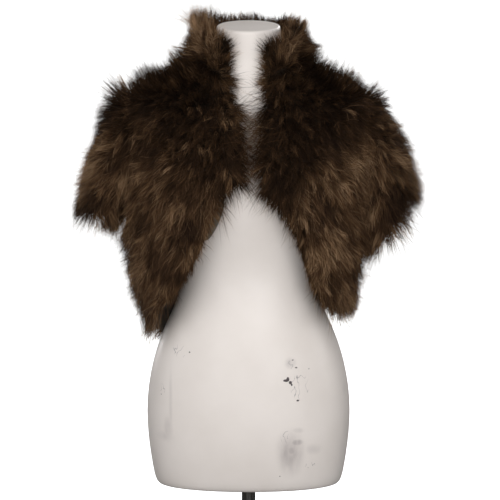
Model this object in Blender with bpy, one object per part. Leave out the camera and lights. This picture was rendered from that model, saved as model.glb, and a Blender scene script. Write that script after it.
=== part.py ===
"""A short-sleeved fur bolero worn by a limbless dress form on a low stand.

Metres, +Z up. The front faces -Y and the viewer's right is +X. The origin is the centre of the
stand's underside. Heights in the tables of the form and of the garment are measured from the form's
flat bottom. Every garment panel is a closed wall: its inside is the cloth, and its outside is where
the fur ends, with the fur rolled over each free edge.
"""

import math

import bpy
import numpy as np
from mathutils import Vector, noise
from mathutils.bvhtree import BVHTree

# Stand
BASE_RADIUS = 0.150
BASE_THICKNESS = 0.010
BASE_BEVEL = 0.003
HUB_RADIUS = 0.024
HUB_HEIGHT = 0.022
POLE_RADIUS = 0.0112
FLANGE_RADIUS = 0.042
FLANGE_THICKNESS = 0.003
ROUND_SEGMENTS = 48
GAP = 0.0003

# Dress form
FORM_BOTTOM = 0.250
FORM_POINTS_ROUND = 48
FORM_SQUARENESS = 2.15
NECK_CAP_TILT = 0.0072
FORM_COLUMNS = ("height", "half_width", "front", "back", "tilt")
FORM_SECTIONS = (
    (0.0000, 0.1465, 0.0860, 0.0960, 0.0),
    (0.0030, 0.1505, 0.0900, 0.1000, 0.0),
    (0.0140, 0.1545, 0.0935, 0.1050, 0.0),
    (0.0450, 0.1597, 0.0985, 0.1110, 0.0),
    (0.0800, 0.1643, 0.1020, 0.1160, 0.0),
    (0.1200, 0.1664, 0.1040, 0.1190, 0.0),
    (0.1600, 0.1636, 0.1040, 0.1170, 0.0),
    (0.2000, 0.1560, 0.1030, 0.1090, 0.0),
    (0.2350, 0.1453, 0.1010, 0.0990, 0.0),
    (0.2650, 0.1325, 0.0970, 0.0890, 0.0),
    (0.2980, 0.1170, 0.0900, 0.0790, 0.0),
    (0.3350, 0.1060, 0.0840, 0.0720, 0.0),
    (0.3800, 0.1110, 0.0920, 0.0770, 0.0),
    (0.4300, 0.1250, 0.1100, 0.0860, 0.0),
    (0.4800, 0.1380, 0.1260, 0.0930, 0.0),
    (0.5300, 0.1460, 0.1160, 0.0980, 0.0),
    (0.5750, 0.1600, 0.0950, 0.0980, 0.0),
    (0.6050, 0.1720, 0.0800, 0.0920, 0.0),
    (0.6260, 0.1700, 0.0715, 0.0855, 0.0),
    (0.6460, 0.1520, 0.0632, 0.0790, 0.0),
    (0.6590, 0.1220, 0.0588, 0.0742, 0.0),
    (0.6730, 0.0970, 0.0543, 0.0684, 0.0),
    (0.6850, 0.0740, 0.0516, 0.0636, 0.0),
    (0.6960, 0.0575, 0.0500, 0.0590, 0.0010),
    (0.7170, 0.0530, 0.0510, 0.0555, 0.0035),
    (0.7390, 0.0520, 0.0530, 0.0530, NECK_CAP_TILT),
    (0.7420, 0.0510, 0.0520, 0.0520, NECK_CAP_TILT),
    (0.7435, 0.0480, 0.0490, 0.0490, NECK_CAP_TILT),
)

# Garment body: the cloth's section rings from hem to neckline, with the two front edges' places
BODY_SQUARENESS = 2.35
HEM_SETTLING_STEPS = 12
BODY_COLUMNS = (
    "front_height",
    "side_height",
    "back_height",
    "left",
    "right",
    "front",
    "back",
    "left_edge",
    "right_edge",
)
BODY_SECTIONS = (
    (0.200, 0.200, 0.200, 0.146, 0.148, 0.118, 0.134, -0.014, 0.026),
    (0.280, 0.280, 0.280, 0.154, 0.153, 0.124, 0.124, -0.014, 0.026),
    (0.340, 0.340, 0.340, 0.171, 0.161, 0.128, 0.115, -0.014, 0.026),
    (0.400, 0.400, 0.400, 0.181, 0.171, 0.133, 0.107, -0.014, 0.026),
    (0.455, 0.452, 0.455, 0.187, 0.183, 0.136, 0.104, -0.013, 0.024),
    (0.510, 0.510, 0.512, 0.188, 0.188, 0.134, 0.106, -0.010, 0.021),
    (0.555, 0.560, 0.562, 0.187, 0.187, 0.121, 0.110, -0.011, 0.022),
    (0.585, 0.602, 0.602, 0.185, 0.185, 0.107, 0.110, -0.014, 0.026),
    (0.606, 0.634, 0.632, 0.178, 0.178, 0.094, 0.106, -0.018, 0.029),
    (0.622, 0.648, 0.652, 0.152, 0.152, 0.083, 0.099, -0.024, 0.030),
    (0.634, 0.660, 0.668, 0.122, 0.122, 0.074, 0.090, -0.029, 0.029),
    (0.643, 0.675, 0.681, 0.099, 0.099, 0.067, 0.081, -0.032, 0.029),
    (0.650, 0.688, 0.692, 0.083, 0.083, 0.063, 0.074, -0.034, 0.029),
)
ARMPIT_ROW = 4
SHOULDER_TIP_ROW = 8
NECKLINE_ROW = 12
ARMHOLE_DEPTH_FRONT = 24.0
ARMHOLE_DEPTH_BACK = 20.0
ARMHOLE_ROUNDNESS = 0.62
# Soft upright waves of the hanging cloth, deeper towards the hem
DRAPE_WAVES = 7
DRAPE_DEPTH = 0.007
DRAPE_TOP = 0.480
DRAPE_PHASE = 0.7

# Hem of the cloth, by degrees turned from the front centre
HEM_COLUMNS = ("turn", "left_height", "right_height")
HEM = (
    (0.0, 0.508, 0.490),
    (8.0, 0.494, 0.482),
    (14.0, 0.478, 0.468),
    (20.0, 0.438, 0.442),
    (26.0, 0.378, 0.408),
    (32.0, 0.356, 0.362),
    (40.0, 0.325, 0.322),
    (52.0, 0.304, 0.302),
    (70.0, 0.288, 0.297),
    (90.0, 0.270, 0.296),
    (115.0, 0.234, 0.284),
    (140.0, 0.222, 0.262),
    (180.0, 0.236, 0.236),
)

# Stand collar, from the neckline to its top edge
COLLAR_COLUMNS = (
    "left_front_height",
    "right_front_height",
    "side_height",
    "back_height",
    "half_width",
    "front",
    "back",
)
COLLAR_SECTIONS = (
    (0.650, 0.650, 0.688, 0.692, 0.083, 0.063, 0.074),
    (0.672, 0.669, 0.706, 0.713, 0.080, 0.066, 0.075),
    (0.695, 0.688, 0.724, 0.734, 0.080, 0.068, 0.077),
    (0.717, 0.706, 0.742, 0.754, 0.083, 0.070, 0.080),
)
COLLAR_INNER_FUR = 0.012

# Sleeves: the cuff ring's inner and outer ends across, its half depth, and the sleeve head's reach
SLEEVE_COLUMNS = ("side", "inner_x", "inner_height", "outer_x", "outer_height", "half_depth", "head_reach")
SLEEVES = (
    (-1.0, 0.221, 0.440, 0.256, 0.455, 0.068, 0.062),
    (1.0, 0.208, 0.392, 0.258, 0.474, 0.070, 0.038),
)
SLEEVE_UNDERARM_REACH = 0.022
SLEEVE_CUFF_SQUARENESS = 2.3
# How strongly the sleeve's cloth leaves the armhole and hangs at the cuff, and which way
SLEEVE_LEAVING = 2.2
SLEEVE_HEAD_RISE = 0.015
SLEEVE_UNDERARM_DROP = 0.055
SLEEVE_HANG = 1.25
SLEEVE_HANG_LIMIT = 0.13
SLEEVE_FLARE = 0.22

# Mesh divisions
ROWS_BELOW_ARMPIT = 10
ROWS_OF_ARMHOLE = 12
ROWS_OF_SHOULDER = 5
FRONT_COLUMNS = 12
FRONT_CROWDING = 1.35
BACK_COLUMNS = 26
SLEEVE_ROWS = 10
COLLAR_ROWS = 4

# Panels that run on smoothly into each other. At a seam between two such parts the fur leans midway
SMOOTH_PARTS = (("left_front", "back", "right_front"), ("left_sleeve",), ("right_sleeve",), ("collar",))

# Fur
FUR_DEPTH = 0.024
FUR_DEPTH_AT_ARMPIT = 0.007
ARMPIT_REACH = 0.085
FUR_OVERHANG = 0.016
TUFT_SIZE = 0.024
TUFT_DEPTH_SHARE = 0.14
TUFT_OVERHANG_SHARE = 0.34
NOISE_GAIN = 1.6
DEPTH_SEED = 7.0
OVERHANG_SEED = 31.0
NORMAL_SMOOTHING = 5
# Beside a seam the fur may lean to it by this share of the cloth's way from the seam, on this many lines
SEAM_LEAN = 0.5
SEAM_LINES = 4
# The upright plane in which the two fronts' fur meets
CLOSING_X = 0.0026
# Fur that faces other fur keeps under half of the way between the two cloths
PRESSED_SHARE = 0.40
PRESSED_RAY_START = 0.002
PRESSED_RAY_SPREAD = 0.45
PRESSED_SLOPE = 0.45
PRESSED_PASSES = 16
# A wall's rim, from its outside to its inside, as shares of the fur's depth and of its overhang
RIM_COLUMNS = ("depth_share", "overhang_share")
RIM = ((0.74, 0.66), (0.30, 1.00))

# Where the cloth rests on the form's shoulders and neck it lies this far off its smooth shape
CLOTH_CLEARANCE = 0.0006

# Lining strip that shows under the left front's hem where the fur parts
LINING_FIRST_COLUMN = 2.6
LINING_LAST_COLUMN = 3.8
LINING_STEPS = 8
LINING_THICKNESS = 0.001
LINING_INSIDE = 0.007
LINING_LEAN = 0.003
LINING_OUTSIDE = 0.015
LINING_LEAST = 0.002
PARTED_FUR_SHARE = 0.25


def table(columns, rows):
    """The rows as an array, after a test that each has one number for each named column."""
    found = np.array(rows, float)
    assert found.shape[1] == len(columns)
    return found


FORM = table(FORM_COLUMNS, FORM_SECTIONS)
BODY = table(BODY_COLUMNS, BODY_SECTIONS)
HEM_TABLE = table(HEM_COLUMNS, HEM)
COLLAR = table(COLLAR_COLUMNS, COLLAR_SECTIONS)
RIM_TABLE = table(RIM_COLUMNS, RIM)


def along(rows, at):
    """A table read at fractional row numbers, on a smooth curve through its rows."""
    at = np.clip(np.asarray(at, float), 0, len(rows) - 1)
    low = np.minimum(at.astype(int), len(rows) - 2)
    part = (at - low)[..., None]
    padded = np.vstack((2 * rows[0] - rows[1], rows, 2 * rows[-1] - rows[-2]))
    a, b, c, d = (padded[low + k] for k in range(4))
    bend = (2 * a - 5 * b + 4 * c - d) * part**2 + (3 * b - a - 3 * c + d) * part**3
    return 0.5 * (2 * b + (c - a) * part + bend)


def ring_scale(sine, cosine, squareness):
    """What turns a point of an ellipse into the point of a squarer oval in the same direction."""
    return (np.abs(sine) ** squareness + np.abs(cosine) ** squareness) ** (-1 / squareness)


# Dress form


def form_rings():
    """The form's rings from bottom to neck cap, each a loop of points."""
    height, half_width, front, back, tilt = (column[:, None] for column in FORM.T)
    turn = np.linspace(0, 2 * math.pi, FORM_POINTS_ROUND, endpoint=False)[None, :]
    sine, cosine = np.sin(turn), np.cos(turn)
    scale = ring_scale(sine, cosine, FORM_SQUARENESS)
    depth = np.where(cosine > 0, front, back)
    x = half_width * sine * scale
    y = -depth * cosine * scale
    z = FORM_BOTTOM + height - tilt * cosine
    return np.stack((x, y, z), -1)


def outside_form(points):
    """How far points are outside the form, in metres, and the way out."""
    def reach(p):
        row = np.interp(p[:, 2] - FORM_BOTTOM, FORM[:, 0], np.arange(len(FORM)))
        _, half_width, front, back, _ = along(FORM, row).T
        depth = np.where(p[:, 1] < 0, front, back)
        across, deep = np.abs(p[:, 0]) / half_width, np.abs(p[:, 1]) / depth
        return (across**FORM_SQUARENESS + deep**FORM_SQUARENESS) ** (1 / FORM_SQUARENESS)

    steps = 1e-4 * np.eye(3)
    slope = np.stack([(reach(points + s) - reach(points - s)) / (2 * s.sum()) for s in steps], 1)
    steepness = np.linalg.norm(slope, axis=1)
    return (reach(points) - 1) / steepness, slope / steepness[:, None]


def clear_of_form(points):
    """The points, moved out to the cloth's clearance wherever they would be nearer to the form."""
    moved = points.reshape(-1, 3).copy()
    for _ in range(6):
        far, way = outside_form(moved)
        moved += way * np.maximum(CLOTH_CLEARANCE - far, 0)[:, None]
    return moved.reshape(points.shape)


# Garment cloth


def body_point(row, turn):
    """The cloth's points at fractional section rows and turns from the front, in degrees, left negative."""
    front_h, side_h, back_h, left, right, front, back, _, _ = np.moveaxis(along(BODY, row), -1, 0)
    angle = np.radians(turn)
    sine, cosine = np.sin(angle), np.cos(angle)
    scale = ring_scale(sine, cosine, BODY_SQUARENESS)
    half_width = np.where(sine < 0, left, right)
    depth = np.where(cosine > 0, front, back)
    end_height = np.where(cosine > 0, front_h, back_h)
    height = side_h + (end_height - side_h) * cosine**2
    hanging = np.clip((DRAPE_TOP - height) / DRAPE_TOP, 0, 1)
    wave = 1 + DRAPE_DEPTH / half_width * hanging * np.sin(DRAPE_WAVES * angle + DRAPE_PHASE)
    x = half_width * sine * scale * wave
    y = -depth * cosine * scale * wave
    return np.stack((x, y, FORM_BOTTOM + height), -1)


def hem_row(turn):
    """The fractional section row at which the hem lies, at a turn from the front."""
    at = np.interp(np.abs(turn), HEM_TABLE[:, 0], np.arange(len(HEM_TABLE)))
    _, left, right = along(HEM_TABLE, at).T
    height = np.where(np.asarray(turn) < 0, left, right)
    cosine = np.cos(np.radians(turn)) ** 2
    front_side = np.abs(turn) < 90
    rows = np.arange(ARMPIT_ROW + 2)
    found = []
    for level, share, ahead in zip(height, cosine, front_side, strict=True):
        end = BODY[rows, 0] if ahead else BODY[rows, 2]
        found.append(np.interp(level, BODY[rows, 1] + (end - BODY[rows, 1]) * share, rows))
    return np.array(found)


def outer_turn(row, depth):
    """How far a panel's outer edge is turned from the front: the side seam, notched by the armhole."""
    share = np.clip((row - ARMPIT_ROW) / (SHOULDER_TIP_ROW - ARMPIT_ROW), 0, 1)
    return 90 - depth * np.sin(math.pi * share) ** ARMHOLE_ROUNDNESS


def row_shares():
    """The shares of the way from hem to neckline at which all body panels have their rows."""
    hem = float(hem_row(np.array([-90.0]))[0])
    stops = np.concatenate(
        (
            np.linspace(hem, ARMPIT_ROW, ROWS_BELOW_ARMPIT + 1)[:-1],
            np.linspace(ARMPIT_ROW, SHOULDER_TIP_ROW, ROWS_OF_ARMHOLE + 1)[:-1],
            np.linspace(SHOULDER_TIP_ROW, NECKLINE_ROW, ROWS_OF_SHOULDER + 1),
        )
    )
    return hem, (stops - hem) / (NECKLINE_ROW - hem)


def seam_rows(side):
    """The section rows of the side seam, armhole and shoulder on one side, shared by front and back."""
    left_hem, shares = row_shares()
    hem = float(hem_row(np.array([side * 90.0]))[0])
    armpit_share = shares[ROWS_BELOW_ARMPIT]
    below = hem + (ARMPIT_ROW - hem) * shares / armpit_share
    above = left_hem + (NECKLINE_ROW - left_hem) * shares
    return np.where(shares < armpit_share, below, above)


def progress_of(seam):
    """The share of the way from hem to neckline at each of a seam's rows."""
    return (seam - seam[0]) / (seam[-1] - seam[0])


def front_grid(side):
    """A front's cloth points, rows from hem to neckline and columns from its front edge to its side."""
    seam = seam_rows(side)
    across = np.linspace(0, 1, FRONT_COLUMNS + 1) ** FRONT_CROWDING
    edge_column = 7 if side < 0 else 8
    width_column = 3 if side < 0 else 4

    def turns(row):
        section = along(BODY, row)
        edge = np.degrees(np.arctan(np.abs(section[..., edge_column]) / section[..., width_column]))
        return edge + (outer_turn(row, ARMHOLE_DEPTH_FRONT) - edge) * across

    hem = np.full(FRONT_COLUMNS + 1, float(ARMPIT_ROW))
    for _ in range(HEM_SETTLING_STEPS):
        hem = hem_row(side * turns(hem))
    rows = hem + (NECKLINE_ROW - hem) * progress_of(seam)[:, None]
    return body_point(rows, side * turns(rows))


def back_grid():
    """The back's cloth points, rows from hem to neckline and columns from the left side to the right."""
    across = np.linspace(-1, 1, BACK_COLUMNS + 1)
    left, right = (progress_of(seam_rows(side))[:, None] for side in (-1.0, 1.0))
    progress = left + (right - left) * (1 + across) / 2
    side = np.where(across < 0, -1, 1)
    hem = hem_row(side * (180 - 90 * np.abs(across)))
    rows = hem + (NECKLINE_ROW - hem) * progress
    turn = 180 - outer_turn(rows, ARMHOLE_DEPTH_BACK) * np.abs(across)
    return body_point(rows, side * turn)


def collar_grid(left_front, back, right_front):
    """The collar's cloth points. Its first row is the neckline of the fronts and the back."""
    neckline = np.concatenate((left_front[-1], back[-1, 1:-1], right_front[-1, ::-1]))
    x, y = neckline[:, 0], neckline[:, 1]
    base = COLLAR[0]
    sine = x / base[4]
    cosine = -y / np.where(y < 0, base[5], base[6])
    size = np.hypot(sine, cosine)
    sine, cosine = sine / size, cosine / size
    grid = [neckline]
    for row in np.linspace(0, len(COLLAR) - 1, COLLAR_ROWS + 1)[1:]:
        left_h, right_h, side_h, back_h, half_width, front, back_depth = along(COLLAR, row)
        depth = np.where(cosine > 0, front, back_depth)
        scale = ring_scale(sine, cosine, BODY_SQUARENESS)
        end_height = np.where(cosine > 0, np.where(sine < 0, left_h, right_h), back_h)
        height = side_h + (end_height - side_h) * cosine**2
        points = (half_width * sine * scale, -depth * cosine * scale, FORM_BOTTOM + height)
        grid.append(np.stack(points, -1))
    return np.array(grid)


def sleeve_grid(sleeve, front, back_column):
    """A sleeve's cloth points, rows from armhole to cuff, closed round, starting at the shoulder tip."""
    side, inner_x, inner_height, outer_x, outer_height, half_depth, head_reach = sleeve
    low, high = ROWS_BELOW_ARMPIT, ROWS_BELOW_ARMPIT + ROWS_OF_ARMHOLE
    down_the_front = front[low : high + 1, -1][::-1]
    up_the_back = back_column[low + 1 : high]
    armhole = np.concatenate((down_the_front, up_the_back))
    round_it = np.linspace(0, 2 * math.pi, len(armhole), endpoint=False)
    topness, frontness = np.cos(round_it), np.sin(round_it)
    scale = ring_scale(topness, frontness, SLEEVE_CUFF_SQUARENESS)
    inner = np.array((side * inner_x, 0, FORM_BOTTOM + inner_height))
    outer = np.array((side * outer_x, 0, FORM_BOTTOM + outer_height))
    middle, half = (inner + outer) / 2, (outer - inner) / 2
    cuff = middle + half * (topness * scale)[:, None]
    cuff[:, 1] -= half_depth * frontness * scale
    reach = SLEEVE_UNDERARM_REACH + (head_reach - SLEEVE_UNDERARM_REACH) * (1 + topness) / 2
    rise = (SLEEVE_HEAD_RISE * (1 + topness) - SLEEVE_UNDERARM_DROP * (1 - topness)) / 2
    leaving = np.stack((side * reach * SLEEVE_LEAVING, 0 * reach, rise), -1)
    drop = (armhole[:, 2] - cuff[:, 2])[:, None]
    hang = np.array((side * SLEEVE_FLARE, 0.0, -1.0)) * np.minimum(SLEEVE_HANG_LIMIT, drop) * SLEEVE_HANG
    share = np.linspace(0, 1, SLEEVE_ROWS + 1)[:, None, None]
    return (
        (2 * share**3 - 3 * share**2 + 1) * armhole
        + (share**3 - 2 * share**2 + share) * leaving
        + (3 * share**2 - 2 * share**3) * cuff
        + (share**3 - share**2) * hang
    )


# Fur over the cloth


def quads_of(ids, closed):
    """The four-cornered faces of a grid of point numbers, which may be closed round."""
    if closed:
        ids = np.hstack((ids, ids[:, :1]))
    return np.stack((ids[:-1, :-1], ids[:-1, 1:], ids[1:, 1:], ids[1:, :-1]), -1).reshape(-1, 4)


def both_ends(quads):
    """The faces' edges as pairs of points, each way round."""
    ends = np.concatenate([quads[:, [k, (k + 1) % 4]] for k in range(4)])
    return np.concatenate((ends, ends[:, ::-1]))


def unit(vectors):
    """The vectors at length one, and zero ones as they are."""
    size = np.linalg.norm(vectors, axis=-1, keepdims=True)
    return np.divide(vectors, size, out=np.zeros_like(vectors), where=size > 0)


def part_normals(points, quads):
    """The unit normal of one part of the cloth at each of its points, and zero at all other points."""
    a, b, c, d = (points[quads[:, k]] for k in range(4))
    across = np.cross(c - a, d - b)
    total = np.zeros_like(points)
    for k in range(4):
        np.add.at(total, quads[:, k], across)
    return unit(total)


def smoothed(values, quads, times, fixed):
    """Values averaged with those of each point's neighbours, several times, but for the fixed ones."""
    ends = both_ends(quads)
    for _ in range(times):
        total, count = values.copy(), np.ones(len(values))
        np.add.at(total, ends[:, 0], values[ends[:, 1]])
        np.add.at(count, ends[:, 0], 1)
        values = np.where(fixed[:, None], values, total / count[:, None])
    return unit(values)


def free_edges(points, normals, quads):
    """For each point on a free edge of the cloth, the way out over that edge; zero elsewhere."""
    ends = np.concatenate([quads[:, [k, (k + 1) % 4]] for k in range(4)])
    key = np.sort(ends, axis=1)
    _, index, count = np.unique(key, axis=0, return_inverse=True, return_counts=True)
    lone = ends[count[index.reshape(-1)] == 1]
    out = np.zeros_like(points)
    for first, second in lone:
        way = np.cross(points[second] - points[first], normals[first] + normals[second])
        way /= np.linalg.norm(way)
        out[first] += way
        out[second] += way
    return unit(out)


def tuft(points, seed):
    """Smooth numbers from about -1 to 1 that vary over the size of a tuft."""
    shift = Vector((seed, 0, 0))
    return np.array([NOISE_GAIN * noise.noise(Vector(p) / TUFT_SIZE + shift) for p in points])


def cone(way, spread):
    """A direction, and six more that lean out from it."""
    first = way.orthogonal().normalized()
    second = way.cross(first)
    turns = np.linspace(0, 2 * math.pi, 6, endpoint=False)
    around = [first * math.cos(turn) + second * math.sin(turn) for turn in turns]
    return [way] + [(way + spread * side).normalized() for side in around]


class Garment:
    """The cloth of all panels as one set of points, with the fur's depth and its overhang at each."""

    def __init__(self, grids, closed):
        self.closed = closed
        cloth = np.concatenate([clear_of_form(g).reshape(-1, 3) for g in grids.values()])
        _, first, number = np.unique(np.round(cloth, 6), axis=0, return_index=True, return_inverse=True)
        self.points = cloth[first]
        number = number.reshape(-1)
        self.ids, used = {}, 0
        for name, grid in grids.items():
            size = grid.shape[0] * grid.shape[1]
            self.ids[name] = number[used : used + size].reshape(grid.shape[:2])
            used += size
        parts = [np.concatenate([self.outward(name) for name in names]) for names in SMOOTH_PARTS]
        quads = np.concatenate(parts)
        normals = unit(sum(part_normals(self.points, part) for part in parts))
        self.edge_way = free_edges(self.points, normals, quads)
        at_armhole = np.zeros(len(self.points), bool)
        for name in ("left_sleeve", "right_sleeve"):
            at_armhole[self.ids[name][0]] = True
        self.normals = smoothed(normals, quads, NORMAL_SMOOTHING, at_armhole)
        self.depth = self.pressed(self.fur_depth(), quads)
        self.overhang = FUR_OVERHANG * (1 + TUFT_OVERHANG_SHARE * tuft(self.points, OVERHANG_SEED))
        self.inner_depth = np.zeros(len(self.points))
        for row, ids in enumerate(self.ids["collar"]):
            self.inner_depth[ids] = COLLAR_INNER_FUR * row / COLLAR_ROWS

    def outward(self, name):
        """A panel's faces, turned so that their normals leave the garment."""
        quads = quads_of(self.ids[name], self.closed[name])
        a, b, c, d = (self.points[quads[:, k]] for k in range(4))
        centre = self.points[self.ids[name]].reshape(-1, 3).mean(0)
        if not self.closed[name]:
            centre = np.array((0.0, 0.0, centre[2]))
        towards = (a + b + c + d) / 4 - centre
        if (np.cross(c - a, d - b) * towards).sum() < 0:
            quads = quads[:, ::-1]
        return quads

    def fur_depth(self):
        """The fur's depth, which dies away into both armpits and varies from tuft to tuft."""
        fronts = (self.ids["left_front"], self.ids["right_front"])
        armpits = [self.points[ids[ROWS_BELOW_ARMPIT, -1]] for ids in fronts]
        far = np.min([np.linalg.norm(self.points - armpit, axis=1) for armpit in armpits], axis=0)
        share = np.clip(far / ARMPIT_REACH, 0, 1)
        share = share * share * (3 - 2 * share)
        depth = FUR_DEPTH_AT_ARMPIT + (FUR_DEPTH - FUR_DEPTH_AT_ARMPIT) * share
        return depth * (1 + TUFT_DEPTH_SHARE * tuft(self.points, DEPTH_SEED))

    def pressed(self, depth, quads):
        """The depth, held under its share of the way to any cloth that faces it, and evened out."""
        corners = [tuple(map(int, quad)) for quad in quads]
        tree = BVHTree.FromPolygons([Vector(p) for p in self.points], corners)
        allowed = np.full(len(depth), FUR_DEPTH * 2)
        for k, (point, normal) in enumerate(zip(self.points, self.normals, strict=True)):
            start = Vector(point) + PRESSED_RAY_START * Vector(normal)
            for way in cone(Vector(normal), PRESSED_RAY_SPREAD):
                distance = tree.ray_cast(start, way, FUR_DEPTH * 4)[3]
                if distance is not None:
                    allowed[k] = min(allowed[k], PRESSED_SHARE * (distance + PRESSED_RAY_START))
        depth = np.minimum(depth, allowed)
        ends = both_ends(quads)
        rise = PRESSED_SLOPE * np.linalg.norm(self.points[ends[:, 0]] - self.points[ends[:, 1]], axis=1)
        for _ in range(PRESSED_PASSES):
            np.minimum.at(depth, ends[:, 0], depth[ends[:, 1]] + rise)
        return depth

    def layers(self, name):
        """A panel's points inside, outside and at each line of its rim, drawn in at its seams."""
        ids = self.ids[name]
        cloth, normal, out = self.points[ids], self.normals[ids], self.edge_way[ids]
        depth, overhang = self.depth[ids][..., None], self.overhang[ids][..., None]
        fur = normal * depth
        shift = np.zeros_like(cloth)
        for axis, end in self.seams(name):
            # Lines that run with the seam, from the seam itself inwards
            lines = np.moveaxis(cloth, axis, 0)[::end]
            fur_lines = np.moveaxis(fur, axis, 0)[::end]
            seam_normal = np.moveaxis(normal, axis, 0)[::end][0]
            apart = unit(np.cross(along_line(lines[0], self.closed[name]), seam_normal))
            apart *= np.sign((apart * (lines[1] - lines[0])).sum(-1, keepdims=True))
            np.moveaxis(shift, axis, 0)[::end][0] += GAP / 2 * apart
            for k in range(1, SEAM_LINES + 1):
                own_side = ((lines[k] - lines[0]) * apart).sum(-1, keepdims=True)
                leaning = (fur_lines[k] * apart).sum(-1, keepdims=True)
                too_far = np.maximum(-SEAM_LEAN * own_side - leaning, 0)
                fur_lines[k] += too_far * apart
        inner = cloth + shift - normal * self.inner_depth[ids][..., None]
        outer = cloth + shift + fur
        rim = [cloth + shift + fur * up + out * overhang * over for up, over in RIM_TABLE]
        if name.endswith("front"):
            for line in [outer, *rim]:
                line[..., 0] = short_of_closing(line[..., 0], name)
        return inner, outer, rim

    def seams(self, name):
        """The sides of a panel that are seams: the axis, and 1 for its start or -1 for its end."""
        if name == "collar" or name.endswith("sleeve"):
            return [(0, 1)]
        if name == "back":
            return [(0, -1), (1, 1), (1, -1)]
        return [(0, -1), (1, -1)]

    def perimeter(self, name):
        """Loops of (row, column) round a panel's free and sewn sides."""
        rows, columns = self.ids[name].shape
        if self.closed[name]:
            return [[(r, c) for c in range(columns)] for r in (0, rows - 1)]
        bottom = [(0, c) for c in range(columns - 1)]
        right = [(r, columns - 1) for r in range(rows - 1)]
        top = [(rows - 1, c) for c in range(columns - 1, 0, -1)]
        left = [(r, 0) for r in range(rows - 1, 0, -1)]
        return [bottom + right + top + left]

    def wall(self, name):
        """A panel's closed wall as points and triangles."""
        inner, outer, rim = self.layers(name)
        ids = self.ids[name]
        count = ids.size
        place = np.arange(count).reshape(ids.shape)
        points = [inner.reshape(-1, 3), outer.reshape(-1, 3)]
        grid = quads_of(place, self.closed[name])
        split = np.concatenate((grid[:, [0, 1, 2]], grid[:, [0, 2, 3]]))
        triangles = [split[:, ::-1], split + count]
        used = 2 * count
        for loop in self.perimeter(name):
            rows, columns = np.array(loop).T
            names = ids[rows, columns]
            lines = [place[rows, columns] + count]
            for line in rim:
                lines.append(used + np.arange(len(loop)))
                points.append(line[rows, columns])
                used += len(loop)
            lines.append(place[rows, columns])
            for upper, lower in zip(lines[:-1], lines[1:], strict=True):
                triangles.append(strip(upper, lower, names))
        points, triangles = np.concatenate(points), np.concatenate(triangles)
        return points, consistent(points, triangles)


def along_line(points, closed):
    """The way that a line of points runs at each of them."""
    if closed:
        return unit(np.roll(points, -1, 0) - np.roll(points, 1, 0))
    return unit(np.gradient(points, axis=0))


def short_of_closing(x, name):
    """Places across, held on a front's own side of the plane in which the two fronts' fur meets."""
    if name == "left_front":
        return np.minimum(x, CLOSING_X - GAP / 2)
    return np.maximum(x, CLOSING_X + GAP / 2)


def strip(upper, lower, names):
    """The triangles between two loops. Each diagonal depends on the cloth's own points alone, so that two
    panels split their common seam alike."""
    after = np.roll(np.arange(len(upper)), -1)
    found = []
    for k, n in enumerate(after):
        a, b, c, d = upper[k], upper[n], lower[n], lower[k]
        if names[k] < names[n]:
            found += [(a, b, c), (a, c, d)]
        else:
            found += [(a, b, d), (b, c, d)]
    return np.array(found)


def consistent(points, triangles):
    """The triangles turned alike, starting from the first one, with the volume positive."""
    edges = {}
    for number, corners in enumerate(triangles):
        for k in range(3):
            first, second = int(corners[k]), int(corners[(k + 1) % 3])
            edges.setdefault((min(first, second), max(first, second)), []).append((number, first < second))
    flipped = np.full(len(triangles), -1)
    flipped[0] = 0
    waiting = [0]
    beside = [[] for _ in triangles]
    for pair in edges.values():
        (one, forward), (other, other_forward) = pair
        beside[one].append((other, forward == other_forward))
        beside[other].append((one, forward == other_forward))
    while waiting:
        one = waiting.pop()
        for other, opposed in beside[one]:
            if flipped[other] < 0:
                flipped[other] = flipped[one] ^ int(opposed)
                waiting.append(other)
    turned = np.where(flipped[:, None] == 1, triangles[:, ::-1], triangles)
    a, b, c = (points[turned[:, k]] for k in range(3))
    volume = (a * np.cross(b, c)).sum() / 6
    return turned if volume > 0 else turned[:, ::-1]


# Lining strip


def lining_strip(garment):
    """The strip of lining that shows under the left front's hem, as a closed bent plate."""
    ids = garment.ids["left_front"]
    at = np.linspace(LINING_FIRST_COLUMN, LINING_LAST_COLUMN, LINING_STEPS + 1)
    columns = np.arange(ids.shape[1])
    hem = np.hstack((garment.points[ids[0]], garment.normals[ids[0]], garment.edge_way[ids[0]]))
    found = np.stack([np.interp(at, columns, value) for value in hem.T], -1)
    edge, normal, out = found[:, :3], unit(found[:, 3:6]), unit(found[:, 6:])
    share = np.sin(np.linspace(0, math.pi, LINING_STEPS + 1))[:, None] ** 0.5
    under = edge - normal * (GAP + LINING_THICKNESS)
    inside = under - out * LINING_INSIDE - normal * LINING_LEAN
    outside = under + out * (LINING_LEAST + (LINING_OUTSIDE - LINING_LEAST) * share)
    sheet = np.stack((inside, (inside + outside) / 2, outside))
    faces = np.stack((sheet, sheet + normal * LINING_THICKNESS))
    shape = sheet.shape[:2]
    place = np.arange(sheet.shape[0] * sheet.shape[1]).reshape(shape)
    grid = quads_of(place, False)
    split = np.concatenate((grid[:, [0, 1, 2]], grid[:, [0, 2, 3]]))
    rows, columns = shape
    loop = [place[0, c] for c in range(columns - 1)] + [place[r, -1] for r in range(rows - 1)]
    loop += [place[-1, c] for c in range(columns - 1, 0, -1)] + [place[r, 0] for r in range(rows - 1, 0, -1)]
    loop = np.array(loop)
    triangles = np.concatenate((split[:, ::-1], split + place.size, strip(loop + place.size, loop, loop)))
    points = faces.reshape(-1, 3)
    return points, consistent(points, triangles)


# Blender objects


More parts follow.
